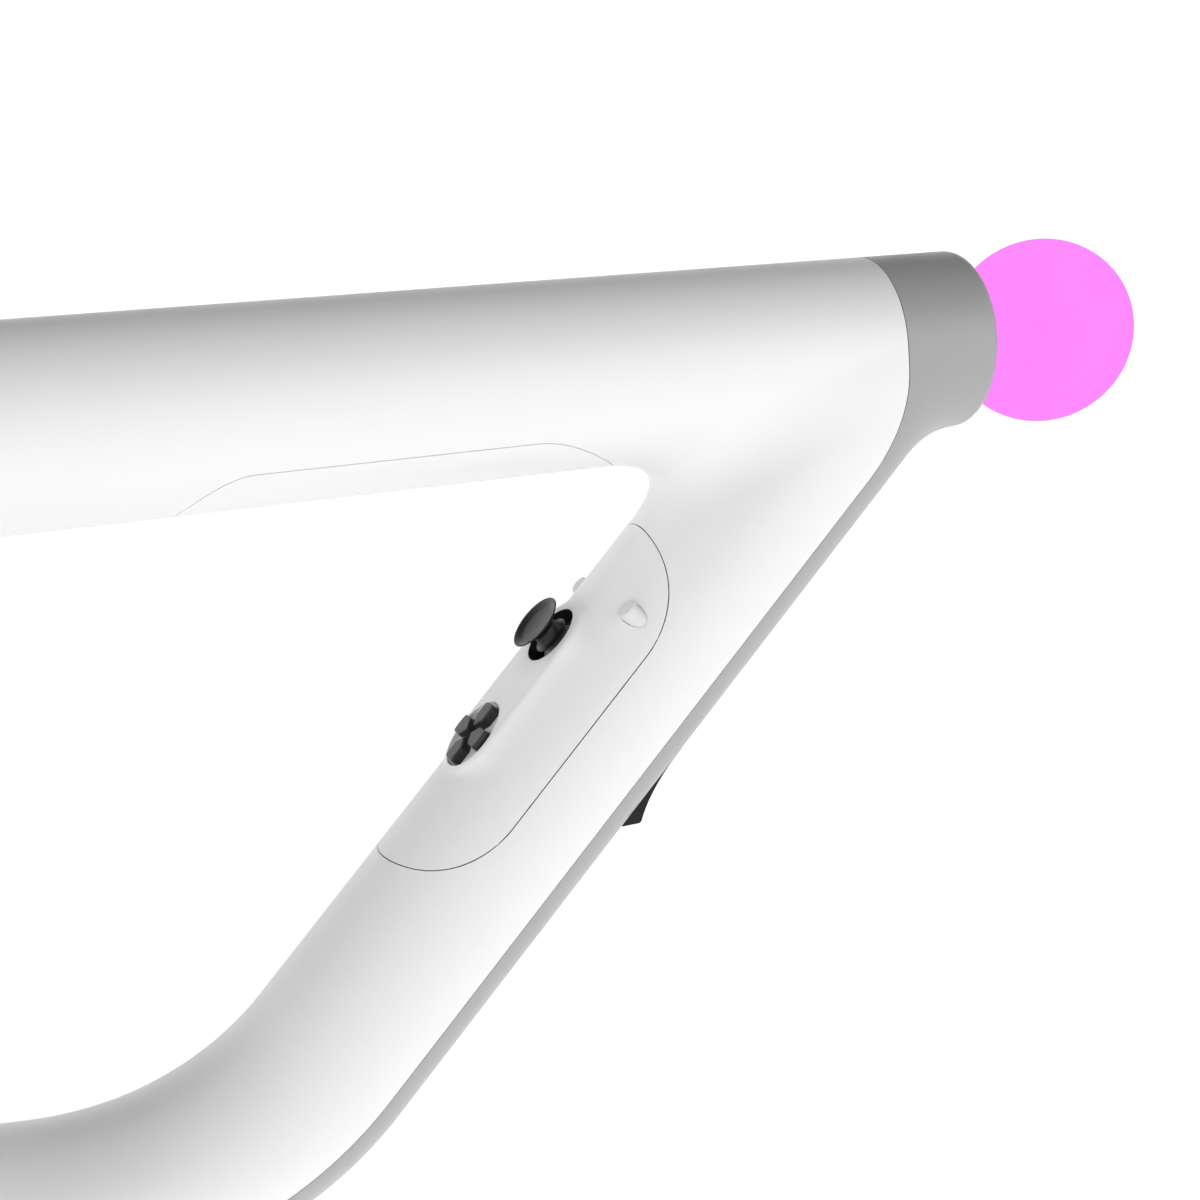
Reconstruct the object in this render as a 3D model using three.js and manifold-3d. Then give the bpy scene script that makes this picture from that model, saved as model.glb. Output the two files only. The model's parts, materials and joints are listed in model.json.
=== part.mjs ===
// Two-handed VR motion controller: a closed loop of round tube with a glowing tracking ball on its
// muzzle, a slanted front grip, a rear grip with the main trigger, and a short stock.
//
// Millimetres. The design frame has its origin at the ball's centre, +X out of the muzzle, +Y to the
// left and +Z up; y = 0 is the middle plane. The last lines move the whole object so that its origin
// is the middle of its base.

import * as THREE from 'three';
import { mergeVertices } from 'three/addons/utils/BufferGeometryUtils.js';
import Module from 'manifold-3d';

const wasm = await Module();
wasm.setup();

// ---------------------------------------------------------------- driving dimensions

const GAP = 0.3;
const WALL = 2.2;
const TUBE_RADIUS = 21.1;
const BORE_RADIUS = TUBE_RADIUS - WALL;
const BALL_RADIUS = 22.5;

// Stations along the top tube, from the ball's centre backwards.
const RIM_X = -26.3;
const RING_REAR_X = -50.7;
const STOCK_BEND_X = -365;
const STOCK_DROP = THREE.MathUtils.degToRad(12);
const PAD_FRONT_X = -398;
const BUTT_X = -407.5;

// The loop under the top tube: front grip, bottom tube, rear grip.
const FRONT_GRIP = { axisX: -45.7, slope: THREE.MathUtils.degToRad(45) };
const REAR_GRIP = { axisX: -285.6, slope: THREE.MathUtils.degToRad(73) };
const BOTTOM_Z = -167.2;
const FRONT_BEND_RADIUS = 80;
const REAR_BEND_RADIUS = 32;

// The grey strip: how far its seam lies in front of the grip's axis, and its rear end.
const STRIP_SEAM_OFFSET = 10.1;
const STRIP_REAR_X = -300;

// Decks of the two control pods. Distances along a deck are from the pod's middle.
const DECK_HALF_WIDTH = 9.2;
const DECK_HALF_LENGTH = 29;
const POD_HALF_LENGTH = 36.9;
const POD_MIDDLE = -1.2;
const POD_SEAM_DEPTH = 13.3;
const FRONT_POD_ALONG = 152.2;
const REAR_POD_X = -305;
const STICK_AT = -16.4;
const CLUSTER_AT = 12.2;
const SIDE_BUTTON_AT = -30.7;

// Thumbsticks.
const STICK_HOLE_RADIUS = 7.25;
const STICK_CAP_RADIUS = 6.9;
const STICK_PIVOT_DEPTH = 8;

// Button clusters.
const RECESS_RADIUS = 8.8;
const RECESS_DEPTH = 1.2;
const FLOOR_DEPTH = 2.3;
const KEY_TOP = 1.2;
const MEMBRANE_DEPTH = 4.4;

// Triggers: all places are in the grip's frame, along the grip and across it.
const FRONT_TRIGGER = { pivot: [137, -13], tip: [157, -25.8], halfWidth: 6 };
const MAIN_TRIGGER = { pivot: [44, -12], tip: [68, -28], halfWidth: 7 };

// Facets: sides of the tubes, and sides of small round pieces.
const TUBE_SIDES = 24;
const SMALL_SIDES = 14;
const MIDDLE_SIDES = 20;
const DEGREES_PER_BEND_STEP = 13;

// ---------------------------------------------------------------- materials

const material = (color, roughness, metalness = 0) =>
  new THREE.MeshStandardMaterial({ color, roughness, metalness });

const MATERIALS = {
  shell: material(0xf2f2f2, 0.4),
  trim: material(0xa8a8aa, 0.45),
  rubber: material(0x262626, 0.7),
  keys: material(0x303030, 0.5),
  glow: material(0xff8aff, 0.6),
  clear: material(0xe8e8ea, 0.2),
  dark: material(0x3a3a3c, 0.6),
  board: material(0x1f6b3a, 0.6),
  steel: material(0xb8babd, 0.35, 1),
  battery: material(0x2f5fa8, 0.5),
};

// ---------------------------------------------------------------- solids

// A closed geometry as a manifold solid, moved by an optional matrix.
function solid(geometry, matrix) {
  const bare = geometry.clone();
  if (matrix) bare.applyMatrix4(matrix);
  bare.deleteAttribute('normal');
  bare.deleteAttribute('uv');
  const merged = mergeVertices(bare, 1e-4);
  const corners = merged.attributes.position.array;
  const triVerts = Uint32Array.from(merged.index.array);
  if (signedVolume(corners, triVerts) < 0) flip(triVerts);
  return new wasm.Manifold(new wasm.Mesh({ numProp: 3, vertProperties: corners, triVerts }));
}

function signedVolume(corners, triVerts) {
  const point = (index) => new THREE.Vector3().fromArray(corners, 3 * index);
  let sum = 0;
  for (let i = 0; i < triVerts.length; i += 3) {
    const [a, b, c] = [point(triVerts[i]), point(triVerts[i + 1]), point(triVerts[i + 2])];
    sum += a.dot(b.cross(c));
  }
  return sum / 6;
}

function flip(triVerts) {
  for (let i = 0; i < triVerts.length; i += 3) {
    [triVerts[i], triVerts[i + 1]] = [triVerts[i + 1], triVerts[i]];
  }
}

const union = (...solids) => solids.reduce((sum, next) => sum.add(next));
const cut = (from, ...tools) => tools.reduce((rest, tool) => rest.subtract(tool), from);

function meshOf(name, shape, slot) {
  const { vertProperties, triVerts } = shape.getMesh();
  const geometry = new THREE.BufferGeometry();
  geometry.setAttribute('position', new THREE.BufferAttribute(Float32Array.from(vertProperties), 3));
  geometry.setIndex(new THREE.BufferAttribute(Uint32Array.from(triVerts), 1));
  geometry.computeVertexNormals();
  const mesh = new THREE.Mesh(geometry, MATERIALS[slot]);
  mesh.name = name;
  return mesh;
}

// ---------------------------------------------------------------- simple shapes

// Cylinder from z = low to z = high on the Z axis.
function rod(radius, low, high, sides = SMALL_SIDES) {
  const geometry = new THREE.CylinderGeometry(radius, radius, high - low, sides);
  return geometry.rotateX(Math.PI / 2).translate(0, 0, (low + high) / 2);
}

// Box between two corners.
function block(low, high) {
  const [x, y, z] = high.map((value, i) => value - low[i]);
  const [cx, cy, cz] = high.map((value, i) => (value + low[i]) / 2);
  return new THREE.BoxGeometry(x, y, z).translate(cx, cy, cz);
}

// Solid of revolution about Z from [radius, z] pairs.
function turned(profile, sides = SMALL_SIDES) {
  const points = profile.map(([radius, z]) => new THREE.Vector2(radius, z));
  return new THREE.LatheGeometry(points, sides).rotateX(Math.PI / 2);
}

// Outline in the XZ plane, extruded both ways along Y.
function sideSlab(outline, halfWidth) {
  const shape = new THREE.Shape(outline);
  const options = { depth: 2 * halfWidth, bevelEnabled: false };
  return new THREE.ExtrudeGeometry(shape, options).rotateX(Math.PI / 2).translate(0, halfWidth, 0);
}

// Shape in the XY plane, extruded from z = low to z = high.
function plate(shape, low, high, curveSegments = 6) {
  const options = { depth: high - low, bevelEnabled: false, curveSegments };
  return new THREE.ExtrudeGeometry(shape, options).translate(0, 0, low);
}

function stadium(halfLength, halfWidth) {
  const straight = halfLength - halfWidth;
  const shape = new THREE.Shape();
  shape.absarc(straight, 0, halfWidth, -Math.PI / 2, Math.PI / 2);
  shape.absarc(-straight, 0, halfWidth, Math.PI / 2, 1.5 * Math.PI);
  return shape;
}

// Points from angle a to angle b on a circle in the XZ plane, both ends included.
function arcPoints(centre, radius, a, b, steps) {
  return Array.from({ length: steps + 1 }, (_, i) => {
    const angle = a + (b - a) * i / steps;
    return new THREE.Vector2(centre.x + radius * Math.cos(angle), centre.y + radius * Math.sin(angle));
  });
}

// A polyline with its corners rounded: each corner is [x, z] or [x, z, radius].
function roundedLine(corners) {
  const points = [];
  corners.forEach(([x, z, radius], i) => {
    const corner = new THREE.Vector2(x, z);
    if (!radius) {
      points.push(corner);
      return;
    }
    const before = new THREE.Vector2(...corners[i - 1]).sub(corner).normalize();
    const after = new THREE.Vector2(...corners[i + 1]).sub(corner).normalize();
    points.push(...filletPoints(corner, before, after, radius));
  });
  return points;
}

// The arc of a given radius that is tangent to the rays `before` and `after` out of a corner.
function filletPoints(corner, before, after, radius) {
  const half = Math.acos(before.dot(after)) / 2;
  const middle = before.clone().add(after).normalize();
  const centre = corner.clone().addScaledVector(middle, radius / Math.sin(half));
  const start = corner.clone().addScaledVector(before, radius / Math.tan(half)).sub(centre);
  const end = corner.clone().addScaledVector(after, radius / Math.tan(half)).sub(centre);
  const turn = Math.atan2(start.cross(end), start.dot(end));
  const steps = Math.ceil(Math.abs(THREE.MathUtils.radToDeg(turn)) / DEGREES_PER_BEND_STEP);
  return arcPoints(centre, radius, start.angle(), start.angle() + turn, steps);
}

// A curve in the XZ plane whose stations are the given points, so that a sweep steps exactly on them.
class StationCurve extends THREE.Curve {
  constructor(points) {
    super();
    this.points = points;
  }

  getPoint(t) {
    const { x, y } = this.points[Math.round(t * (this.points.length - 1))];
    return new THREE.Vector3(x, 0, y);
  }

  getPointAt(t) {
    return this.getPoint(t);
  }

  getTangentAt(t) {
    const last = this.points.length - 1;
    const i = Math.round(t * last);
    const here = this.points[i];
    const ahead = this.points[Math.min(i + 1, last)].clone().sub(here).normalize();
    const behind = here.clone().sub(this.points[Math.max(i - 1, 0)]).normalize();
    const { x, y } = ahead.add(behind).normalize();
    return new THREE.Vector3(x, 0, y);
  }
}

// Round tube solid along a polyline in the XZ plane.
function sweep(points, radius, sides = TUBE_SIDES) {
  const circle = arcPoints(new THREE.Vector2(), radius, 0, 2 * Math.PI, sides).slice(0, -1);
  const extrudePath = new StationCurve(points);
  const options = { steps: points.length - 1, extrudePath, bevelEnabled: false };
  return solid(new THREE.ExtrudeGeometry(new THREE.Shape(circle), options));
}

// ---------------------------------------------------------------- frames

// Frame from its origin and its X and Z directions in the middle plane. Y then points to the right
// side of the controller.
function planeFrame(origin, along, out) {
  const x = new THREE.Vector3(along[0], 0, along[1]);
  const z = new THREE.Vector3(out[0], 0, out[1]);
  const y = z.clone().cross(x);
  return new THREE.Matrix4().makeBasis(x, y, z).setPosition(origin[0], 0, origin[1]);
}

// Frame of a grip: X runs down its axis from the top tube's axis, Z points back, away from the
// trigger.
function gripFrame({ axisX, slope }) {
  const along = [-Math.cos(slope), -Math.sin(slope)];
  const out = [-Math.sin(slope), Math.cos(slope)];
  return planeFrame([axisX, 0], along, out);
}

const shifted = (frame, x, y, z) => frame.clone().multiply(new THREE.Matrix4().makeTranslation(x, y, z));

const FRONT_FRAME = gripFrame(FRONT_GRIP);
const REAR_FRAME = gripFrame(REAR_GRIP);

// The front pod and trigger are placed along the grip from the foot of the perpendicular through the
// ball's centre, which lies this far up the axis from the top tube's axis.
const FRONT_FOOT = -FRONT_GRIP.axisX * Math.cos(FRONT_GRIP.slope);
const FRONT_TRIGGER_FRAME = shifted(FRONT_FRAME, -FRONT_FOOT, 0, 0);
const FRONT_DECK = shifted(FRONT_FRAME, FRONT_POD_ALONG - FRONT_FOOT, 0, TUBE_RADIUS);
const REAR_DECK = planeFrame([REAR_POD_X, TUBE_RADIUS], [-1, 0], [0, 1]);

// ---------------------------------------------------------------- the tube loop

// x on a grip's axis at a height z.
const gripX = ({ axisX, slope }, z) => axisX + z / Math.tan(slope);

function topLine(frontX) {
  const length = 60;
  const end = [STOCK_BEND_X - length, -length * Math.tan(STOCK_DROP)];
  return roundedLine([[frontX, 0], [STOCK_BEND_X, 0, 120], end]);
}

const loopLine = roundedLine([
  [FRONT_GRIP.axisX, 0],
  [gripX(FRONT_GRIP, BOTTOM_Z), BOTTOM_Z, FRONT_BEND_RADIUS],
  [gripX(REAR_GRIP, BOTTOM_Z), BOTTOM_Z, REAR_BEND_RADIUS],
  [REAR_GRIP.axisX, 0],
]);

// Fillet between the top tube's underside and one side of a grip: side is 1 for the grip's back and
// -1 for its front. It is a slab, rooted inside both tubes.
function web(grip, side, radius) {
  const halfWidth = 9;
  const root = 3;
  const down = new THREE.Vector2(-Math.cos(grip.slope), -Math.sin(grip.slope));
  const across = new THREE.Vector2(-Math.sin(grip.slope), Math.cos(grip.slope)).multiplyScalar(side);
  const onGrip = new THREE.Vector2(grip.axisX, 0).addScaledVector(across, TUBE_RADIUS);
  const corner = onGrip.addScaledVector(down, (-TUBE_RADIUS - onGrip.y) / down.y);
  const level = new THREE.Vector2(-side, 0);
  const arc = filletPoints(corner, level, down, radius);
  const inTube = arc[0].clone().add(new THREE.Vector2(0, root));
  const inGrip = arc[arc.length - 1].clone().addScaledVector(across, -root);
  const inBoth = corner.clone().addScaledVector(level.clone().add(down).normalize(), -root);
  return solid(sideSlab([inTube, ...arc, inGrip, inBoth], halfWidth));
}

function tubeBody() {
  const webs = [
    web(FRONT_GRIP, 1, 8),
    web(FRONT_GRIP, -1, 23),
    web(REAR_GRIP, 1, 14),
    web(REAR_GRIP, -1, 14),
  ];
  return union(sweep(topLine(RIM_X), TUBE_RADIUS), sweep(loopLine, TUBE_RADIUS), ...webs);
}

// The hollow: it runs out of the muzzle, and in its loop it stops short of the top tube's far wall.
function tubeBore() {
  const mouth = 5;
  return union(sweep(topLine(RIM_X + mouth), BORE_RADIUS), sweep(loopLine, BORE_RADIUS));
}

function deckBlock(deck) {
  return solid(plate(stadium(DECK_HALF_LENGTH, DECK_HALF_WIDTH), -WALL - 1, 0), deck);
}

// ---------------------------------------------------------------- zones that divide the skin

// Half width of a zone, well past the skin on both sides.
const ZONE_HALF_WIDTH = 40;

// Everything in front of the ring's rear seam and below the strip's seam. A positive inset makes it
// smaller.
function stripZone(inset) {
  const radius = { knee: 33, bend: 85, rear: 8 };
  const above = 30;
  const below = -200;
  const seam = STRIP_SEAM_OFFSET + inset;
  const seamBottom = BOTTOM_Z - seam;
  const seamX = (z) => gripX(FRONT_GRIP, z) + seam / Math.sin(FRONT_GRIP.slope);
  const ringX = RING_REAR_X + inset;
  const kneeZ = (ringX - seamX(0)) * Math.tan(FRONT_GRIP.slope);
  const outline = roundedLine([
    [ringX, above],
    [ringX, kneeZ, radius.knee],
    [seamX(seamBottom), seamBottom, radius.bend],
    [STRIP_REAR_X + inset, seamBottom, radius.rear],
    [STRIP_REAR_X + inset, below],
    [0, below],
    [0, above],
  ]);
  return solid(sideSlab(outline, ZONE_HALF_WIDTH));
}

// The skin that a control pod takes, in its deck's frame.
function podZone(deck, inset) {
  const slope = Math.tan(THREE.MathUtils.degToRad(38));
  const depth = -POD_SEAM_DEPTH + inset;
  const height = 10;
  const cornerRadius = 27;
  const end = POD_HALF_LENGTH - inset;
  const reach = end + (height - depth) * slope;
  const outline = roundedLine([
    [-reach, height],
    [-end, depth, cornerRadius],
    [end, depth, cornerRadius],
    [reach, height],
  ]);
  return solid(sideSlab(outline, ZONE_HALF_WIDTH), shifted(deck, POD_MIDDLE, 0, 0));
}

// The cover under the top tube: straight sides and two elliptical ends.
const PANEL = { frontX: -139, rearX: -198, frontEnd: 22, rearEnd: 17, halfWidth: 17.1 };

function panelZone(inset) {
  const shape = new THREE.Shape();
  const halfWidth = PANEL.halfWidth - inset;
  shape.absellipse(PANEL.frontX, 0, PANEL.frontEnd - inset, halfWidth, -Math.PI / 2, Math.PI / 2);
  shape.absellipse(PANEL.rearX, 0, PANEL.rearEnd - inset, halfWidth, Math.PI / 2, 1.5 * Math.PI);
  return solid(plate(shape, -TUBE_RADIUS - 2, -5));
}

// Everything behind the stock's seam, as far back as rearX.
const padZone = (inset, rearX) => solid(block(
  [rearX, -ZONE_HALF_WIDTH, -50],
  [PAD_FRONT_X - inset, ZONE_HALF_WIDTH, 50],
));

// ---------------------------------------------------------------- openings in the skin

// Slot for a trigger, with the clearance that the lever needs on its way in.
function triggerSlot(trigger, frame) {
  const [along] = trigger.pivot;
  const y = trigger.halfWidth + 0.5;
  const end = along + triggerReach(trigger) + 0.6;
  return solid(block([along - 3.8, -y, -TUBE_RADIUS - 2], [end, y, -8]), frame);
}

// Distance from a trigger's pivot to its tip.
const triggerReach = ({ pivot, tip }) => Math.hypot(tip[0] - pivot[0], tip[1] - pivot[1]);

// The stick's hole, the cluster's recess and the pocket under its floor, and a pod's other holes.
function podOpenings(deck, keyHoles, roundHoles) {
  const recess = shifted(deck, CLUSTER_AT, 0, 0);
  return [
    solid(rod(STICK_HOLE_RADIUS, -12, 2, MIDDLE_SIDES), shifted(deck, STICK_AT, 0, 0)),
    solid(rod(RECESS_RADIUS, -RECESS_DEPTH, 2, MIDDLE_SIDES), recess),
    solid(rod(RECESS_RADIUS - GAP, -10, -FLOOR_DEPTH, MIDDLE_SIDES), recess),
    ...keyHoles.map((hole) => solid(hole, recess)),
    ...roundHoles.map(([radius, x, y]) => solid(rod(radius, -20, 2, 12), shifted(deck, x, y, 0))),
  ];
}

// Screw bosses: place on the middle plane, one post on each side.
const SCREWS = [[-72, -6], [-246, 0], [-262, BOTTOM_Z], [-321, -117]];
const SCREW = { post: 3.6, head: 2.2, shank: 1.2, seat: 10.2, bore: 1.5, sink: 2.5 };

const across = (x, z) => new THREE.Matrix4().makeRotationX(-Math.PI / 2).setPosition(x, 0, z);

function screwPosts(side) {
  return SCREWS.map(([x, z]) => {
    const ends = side > 0 ? [GAP / 2, BORE_RADIUS + 1] : [-BORE_RADIUS - 1, -GAP / 2];
    return solid(rod(SCREW.post, ...ends, 12), across(x, z));
  });
}

function screwHoles() {
  return SCREWS.flatMap(([x, z]) => [
    solid(rod(SCREW.bore, -9, 30, 10), across(x, z)),
    solid(rod(SCREW.sink, SCREW.seat, 30, 12), across(x, z)),
  ]);
}

// ---------------------------------------------------------------- trigger

// Bosses that hold the ends of a trigger's pin, on one side of the middle plane or on both.
function pinBosses(trigger, frame, sides) {
  const [along, height] = trigger.pivot;
  const inner = trigger.halfWidth + 0.8;
  const outer = trigger.halfWidth + 4.5;
  const low = -BORE_RADIUS - 0.6;
  return sides.map((side) => {
    const [a, b] = [side * inner, side * outer].sort((p, q) => p - q);
    const post = solid(block([along - PIN.boss, a, low], [along + PIN.boss, b, height + PIN.boss]), frame);
    return cut(post, solid(pinRod(PIN.radius + GAP, trigger), shifted(frame, along, 0, height)));
  });
}

const PIN = { radius: 1.2, pocket: 2.6, boss: 3 };

// A rod along Y as long as a trigger's pin, centred on it.
function pinRod(radius, trigger, extra = 0) {
  const half = trigger.halfWidth + 3.5 + extra;
  return rod(radius, -half, half, 10).rotateX(Math.PI / 2);
}

// The lever: flush with the grip at its top, curving out to the tip, with an underside that is an arc
// about the pivot so that it stays clear of its slot as it turns.
function triggerLever(trigger) {
  const [px, pz] = trigger.pivot;
  const [tx, tz] = trigger.tip;
  const reach = triggerReach(trigger);
  const tipAngle = Math.atan2(tz - pz, tx - px);
  const face = new THREE.QuadraticBezierCurve(
    new THREE.Vector2(px - 2.6, -TUBE_RADIUS + 0.8),
    new THREE.Vector2(px + 0.55 * (tx - px), -TUBE_RADIUS - 0.6),
    new THREE.Vector2(tx - 1.2, tz - 0.4),
  ).getPoints(6);
  const underside = arcPoints(new THREE.Vector2(px, pz), reach, tipAngle, -0.12, 4);
  const back = [new THREE.Vector2(px + 8, pz + 3), new THREE.Vector2(px - 2.6, pz + 3)];
  const outline = [...face, ...underside, ...back];
  const frame = new THREE.Matrix4().makeTranslation(px, 0, pz);
  const pocket = block([-4, -PIN.pocket, -4.2], [6, PIN.pocket, 6]);
  return cut(
    solid(sideSlab(outline, trigger.halfWidth)),
    solid(pinRod(PIN.radius + GAP, trigger), frame),
    solid(pocket, frame),
  );
}

// Torsion spring round the pin, as a helix of square-ish wire.
class CoilCurve extends THREE.Curve {
  constructor(radius, halfLength, turns) {
    super();
    Object.assign(this, { radius, halfLength, turns });
  }

  getPoint(t) {
    const angle = 2 * Math.PI * this.turns * t;
    const y = this.halfLength * (2 * t - 1);
    return new THREE.Vector3(this.radius * Math.cos(angle), y, this.radius * Math.sin(angle));
  }
}

function torsionSpring() {
  const wire = new THREE.Shape().absarc(0, 0, 0.35, 0, 2 * Math.PI);
  const extrudePath = new CoilCurve(2.1, 1.8, 3);
  const options = { steps: 24, extrudePath, bevelEnabled: false, curveSegments: 2 };
  return solid(new THREE.ExtrudeGeometry(wire, options));
}

function triggerParts(prefix, trigger, frame) {
  const group = placed(frame);
  const [px, pz] = trigger.pivot;
  const onPin = new THREE.Group();
  onPin.position.set(px, 0, pz);
  onPin.add(meshOf(`${prefix}_trigger_pin`, solid(pinRod(PIN.radius, trigger, -0.4)), 'steel'));
  onPin.add(meshOf(`${prefix}_trigger_spring`, torsionSpring(), 'steel'));
  group.add(meshOf(`${prefix}_trigger`, triggerLever(trigger), 'rubber'), onPin);
  return group;
}

// ---------------------------------------------------------------- thumbstick

// Heights are from the tilt axes. The stem is a spherical skirt on a shaft that slides in the rocker's
// bore, with a spigot on top that the cap is pressed onto.
const STICK = { skirt: 7.2, skirtWall: 0.9, shaft: 1, neck: 2.6, hub: 2.4, ring: [3.8, 5], axle: 0.7 };
const CAP_FOOT = STICK_PIVOT_DEPTH + 1.6;
const SPIGOT_TOP = CAP_FOOT + 1.2;

function stickStem() {
  const skirtLow = 3.6;
  const shaftLow = -1.6;
  const shoulder = 6;
  const arc = (radius) => {
    const from = Math.asin(skirtLow / radius);
    const to = Math.acos(STICK.neck / radius);
    return arcPoints(new THREE.Vector2(), radius, from, to, 3).map(({ x, y }) => [x, y]);
  };
  const profile = [
    [0, shaftLow],
    [STICK.shaft, shaftLow],
    [STICK.shaft, shoulder],
    ...arc(STICK.skirt - STICK.skirtWall).reverse(),
    ...arc(STICK.skirt),
    [STICK.neck, CAP_FOOT - GAP],
    [STICK.shaft, CAP_FOOT - GAP],
    [STICK.shaft, SPIGOT_TOP],
    [0, SPIGOT_TOP],
  ];
  return solid(turned(profile, MIDDLE_SIDES));
}

// Dished cap with a socket for the stem's spigot. Its neck is straight, so that it clears the bezel at
// full tilt.
function stickCap() {
  const socket = STICK.shaft + GAP;
  const rim = STICK_PIVOT_DEPTH + 5;
  const profile = [
    [0, SPIGOT_TOP + GAP],
    [socket, SPIGOT_TOP + GAP],
    [socket, CAP_FOOT],
    [STICK.neck, CAP_FOOT],
    [STICK.neck, rim - 2],
    [STICK_CAP_RADIUS - 0.5, rim - 1.1],
    [STICK_CAP_RADIUS, rim - 0.6],
    [STICK_CAP_RADIUS - 0.5, rim],
    [STICK_CAP_RADIUS - 1.3, rim - 0.3],
    [0, rim - 0.9],
  ];
  return solid(turned(profile, MIDDLE_SIDES));
}

// Inner rocker: a hub with a bore for the shaft and two stub axles along Y.
function stickRocker() {
  const axle = rod(STICK.axle, -STICK.ring[0] + GAP, STICK.ring[0] - GAP, 8).rotateX(Math.PI / 2);
  const hub = union(solid(rod(STICK.hub, -1, 1)), solid(axle));
  return cut(hub, solid(rod(STICK.shaft + GAP, -2, 2)));
}

// Outer yoke: a ring with two stub axles along X.
function stickYoke() {
  const [inner, outer] = STICK.ring;
  const ring = cut(solid(rod(outer, -0.8, 0.8)), solid(rod(inner, -2, 2)));
  const axles = [[outer - 0.5, 6], [-6, -outer + 0.5]].map(([low, high]) =>
    solid(rod(STICK.axle, low, high, 8).rotateY(Math.PI / 2)));
  return union(ring, ...axles);
}

// Open tray with a cradle post under each of the yoke's axles.
function stickModule() {
  const half = 7.2;
  const box = solid(block([-half, -half, -8], [half, half, -2.2]));
  const tray = cut(box, solid(block([-6, -6, -7], [6, 6, 0])));
  const posts = [-1, 1].map((side) => {
    const [a, b] = [side * 5.3, side * 7].sort((p, q) => p - q);
    return solid(block([a, -1.5, -4], [b, 1.5, -STICK.axle - GAP]));
  });
  return union(tray, ...posts);
}

// Ring that lines the hole in the deck.
function stickBezel() {
  const outer = STICK_HOLE_RADIUS - GAP;
  const deck = STICK_PIVOT_DEPTH;
  const inner = outer - 0.5;
  const foot = deck - WALL - 1;
  const profile = [[outer, foot], [outer, deck], [inner, deck], [inner, foot]];
  return solid(turned([...profile, profile[0]], MIDDLE_SIDES));
}

function thumbstick(prefix, deck) {
  const group = placed(shifted(deck, STICK_AT, 0, -STICK_PIVOT_DEPTH));
  group.add(
    meshOf(`${prefix}_stick_bezel`, stickBezel(), 'rubber'),
    meshOf(`${prefix}_stick_module`, stickModule(), 'dark'),
    meshOf(`${prefix}_stick_yoke`, stickYoke(), 'steel'),
    meshOf(`${prefix}_stick_rocker`, stickRocker(), 'steel'),
    meshOf(`${prefix}_stick_stem`, stickStem(), 'keys'),
    meshOf(`${prefix}_stick_cap`, stickCap(), 'rubber'),
  );
  return group;
}

// ---------------------------------------------------------------- keys and buttons

const KEY = { halfWidth: 2.4, outer: 7.9, shoulder: 4, tip: 1.5, foot: -3.3, flange: 0.35 };

// Five-sided key that points at the cluster's middle, lying along +X. grow widens its outline.
function keyShape(grow, outer = KEY.outer) {
  const { halfWidth, shoulder, tip } = KEY;
  const w = halfWidth + grow;
  return new THREE.Shape([
    new THREE.Vector2(tip - grow, 0),
    new THREE.Vector2(shoulder - grow / 2, -w),
    new THREE.Vector2(outer + grow, -w),
    new THREE.Vector2(outer + grow, w),
    new THREE.Vector2(shoulder - grow / 2, w),
  ]);
}

// Key with a flange under the recess floor.
function dpadKey() {
  const flange = plate(keyShape(KEY.flange, KEY.outer - 2), KEY.foot, -FLOOR_DEPTH - GAP);
  return union(solid(plate(keyShape(0), KEY.foot, KEY_TOP)), solid(flange));
}

const roundButton = (radius, foot, top) => solid(rod(radius, foot, top));

const CLUSTER_DIRECTIONS = { up: Math.PI, left: Math.PI / 2, right: -Math.PI / 2, down: 0 };
const DPAD_NAMES = { up: 'up', left: 'right', right: 'left', down: 'down' };
const FACE_NAMES = { up: 'north', left: 'west', right: 'east', down: 'south' };
const FACE_BUTTON = { radius: 2.9, ring: 5.6 };

// Membrane: a rubber sheet under the cluster.
const membrane = () => solid(rod(RECESS_RADIUS - 0.4, -MEMBRANE_DEPTH - 0.8, -MEMBRANE_DEPTH, MIDDLE_SIDES));

function dpad(deck) {
  const group = placed(shifted(deck, CLUSTER_AT, 0, 0));
  for (const [way, angle] of Object.entries(CLUSTER_DIRECTIONS)) {
    const key = meshOf(`dpad_key_${DPAD_NAMES[way]}`, dpadKey(), 'keys');
    key.rotation.z = angle;
    group.add(key);
  }
  group.add(meshOf('dpad_membrane', membrane(), 'rubber'));
  return group;
}

function faceButtons(deck) {
  const group = placed(shifted(deck, CLUSTER_AT, 0, 0));
  for (const [way, angle] of Object.entries(CLUSTER_DIRECTIONS)) {
    const button = roundButton(FACE_BUTTON.radius, KEY.foot, KEY_TOP);
    const mesh = meshOf(`face_button_${FACE_NAMES[way]}`, button, 'keys');
    mesh.position.set(FACE_BUTTON.ring * Math.cos(angle), FACE_BUTTON.ring * Math.sin(angle), 0);
    group.add(mesh);
  }
  group.add(meshOf('face_button_membrane', membrane(), 'rubber'));
  return group;
}

// Holes for the keys, in the cluster's frame, with room all round.
function dpadHoles() {
  return Object.values(CLUSTER_DIRECTIONS).map((angle) => plate(keyShape(GAP), -5, 2).rotateZ(angle));
}

function faceHoles() {
  return Object.values(CLUSTER_DIRECTIONS).map((angle) => {
    const [x, y] = [FACE_BUTTON.ring * Math.cos(angle), FACE_BUTTON.ring * Math.sin(angle)];
    return rod(FACE_BUTTON.radius + GAP, -5, 2).translate(x, y, 0);
  });
}

const SIDE_BUTTON = { radius: 2.3, y: 15.1, top: -4, foot: -11 };
const HOME_BUTTON = { radius: 2.5, at: 25.2, top: 0.7, foot: -4 };
const STATUS_LIGHT = { radius: 1.1, at: -26.6 };

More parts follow.
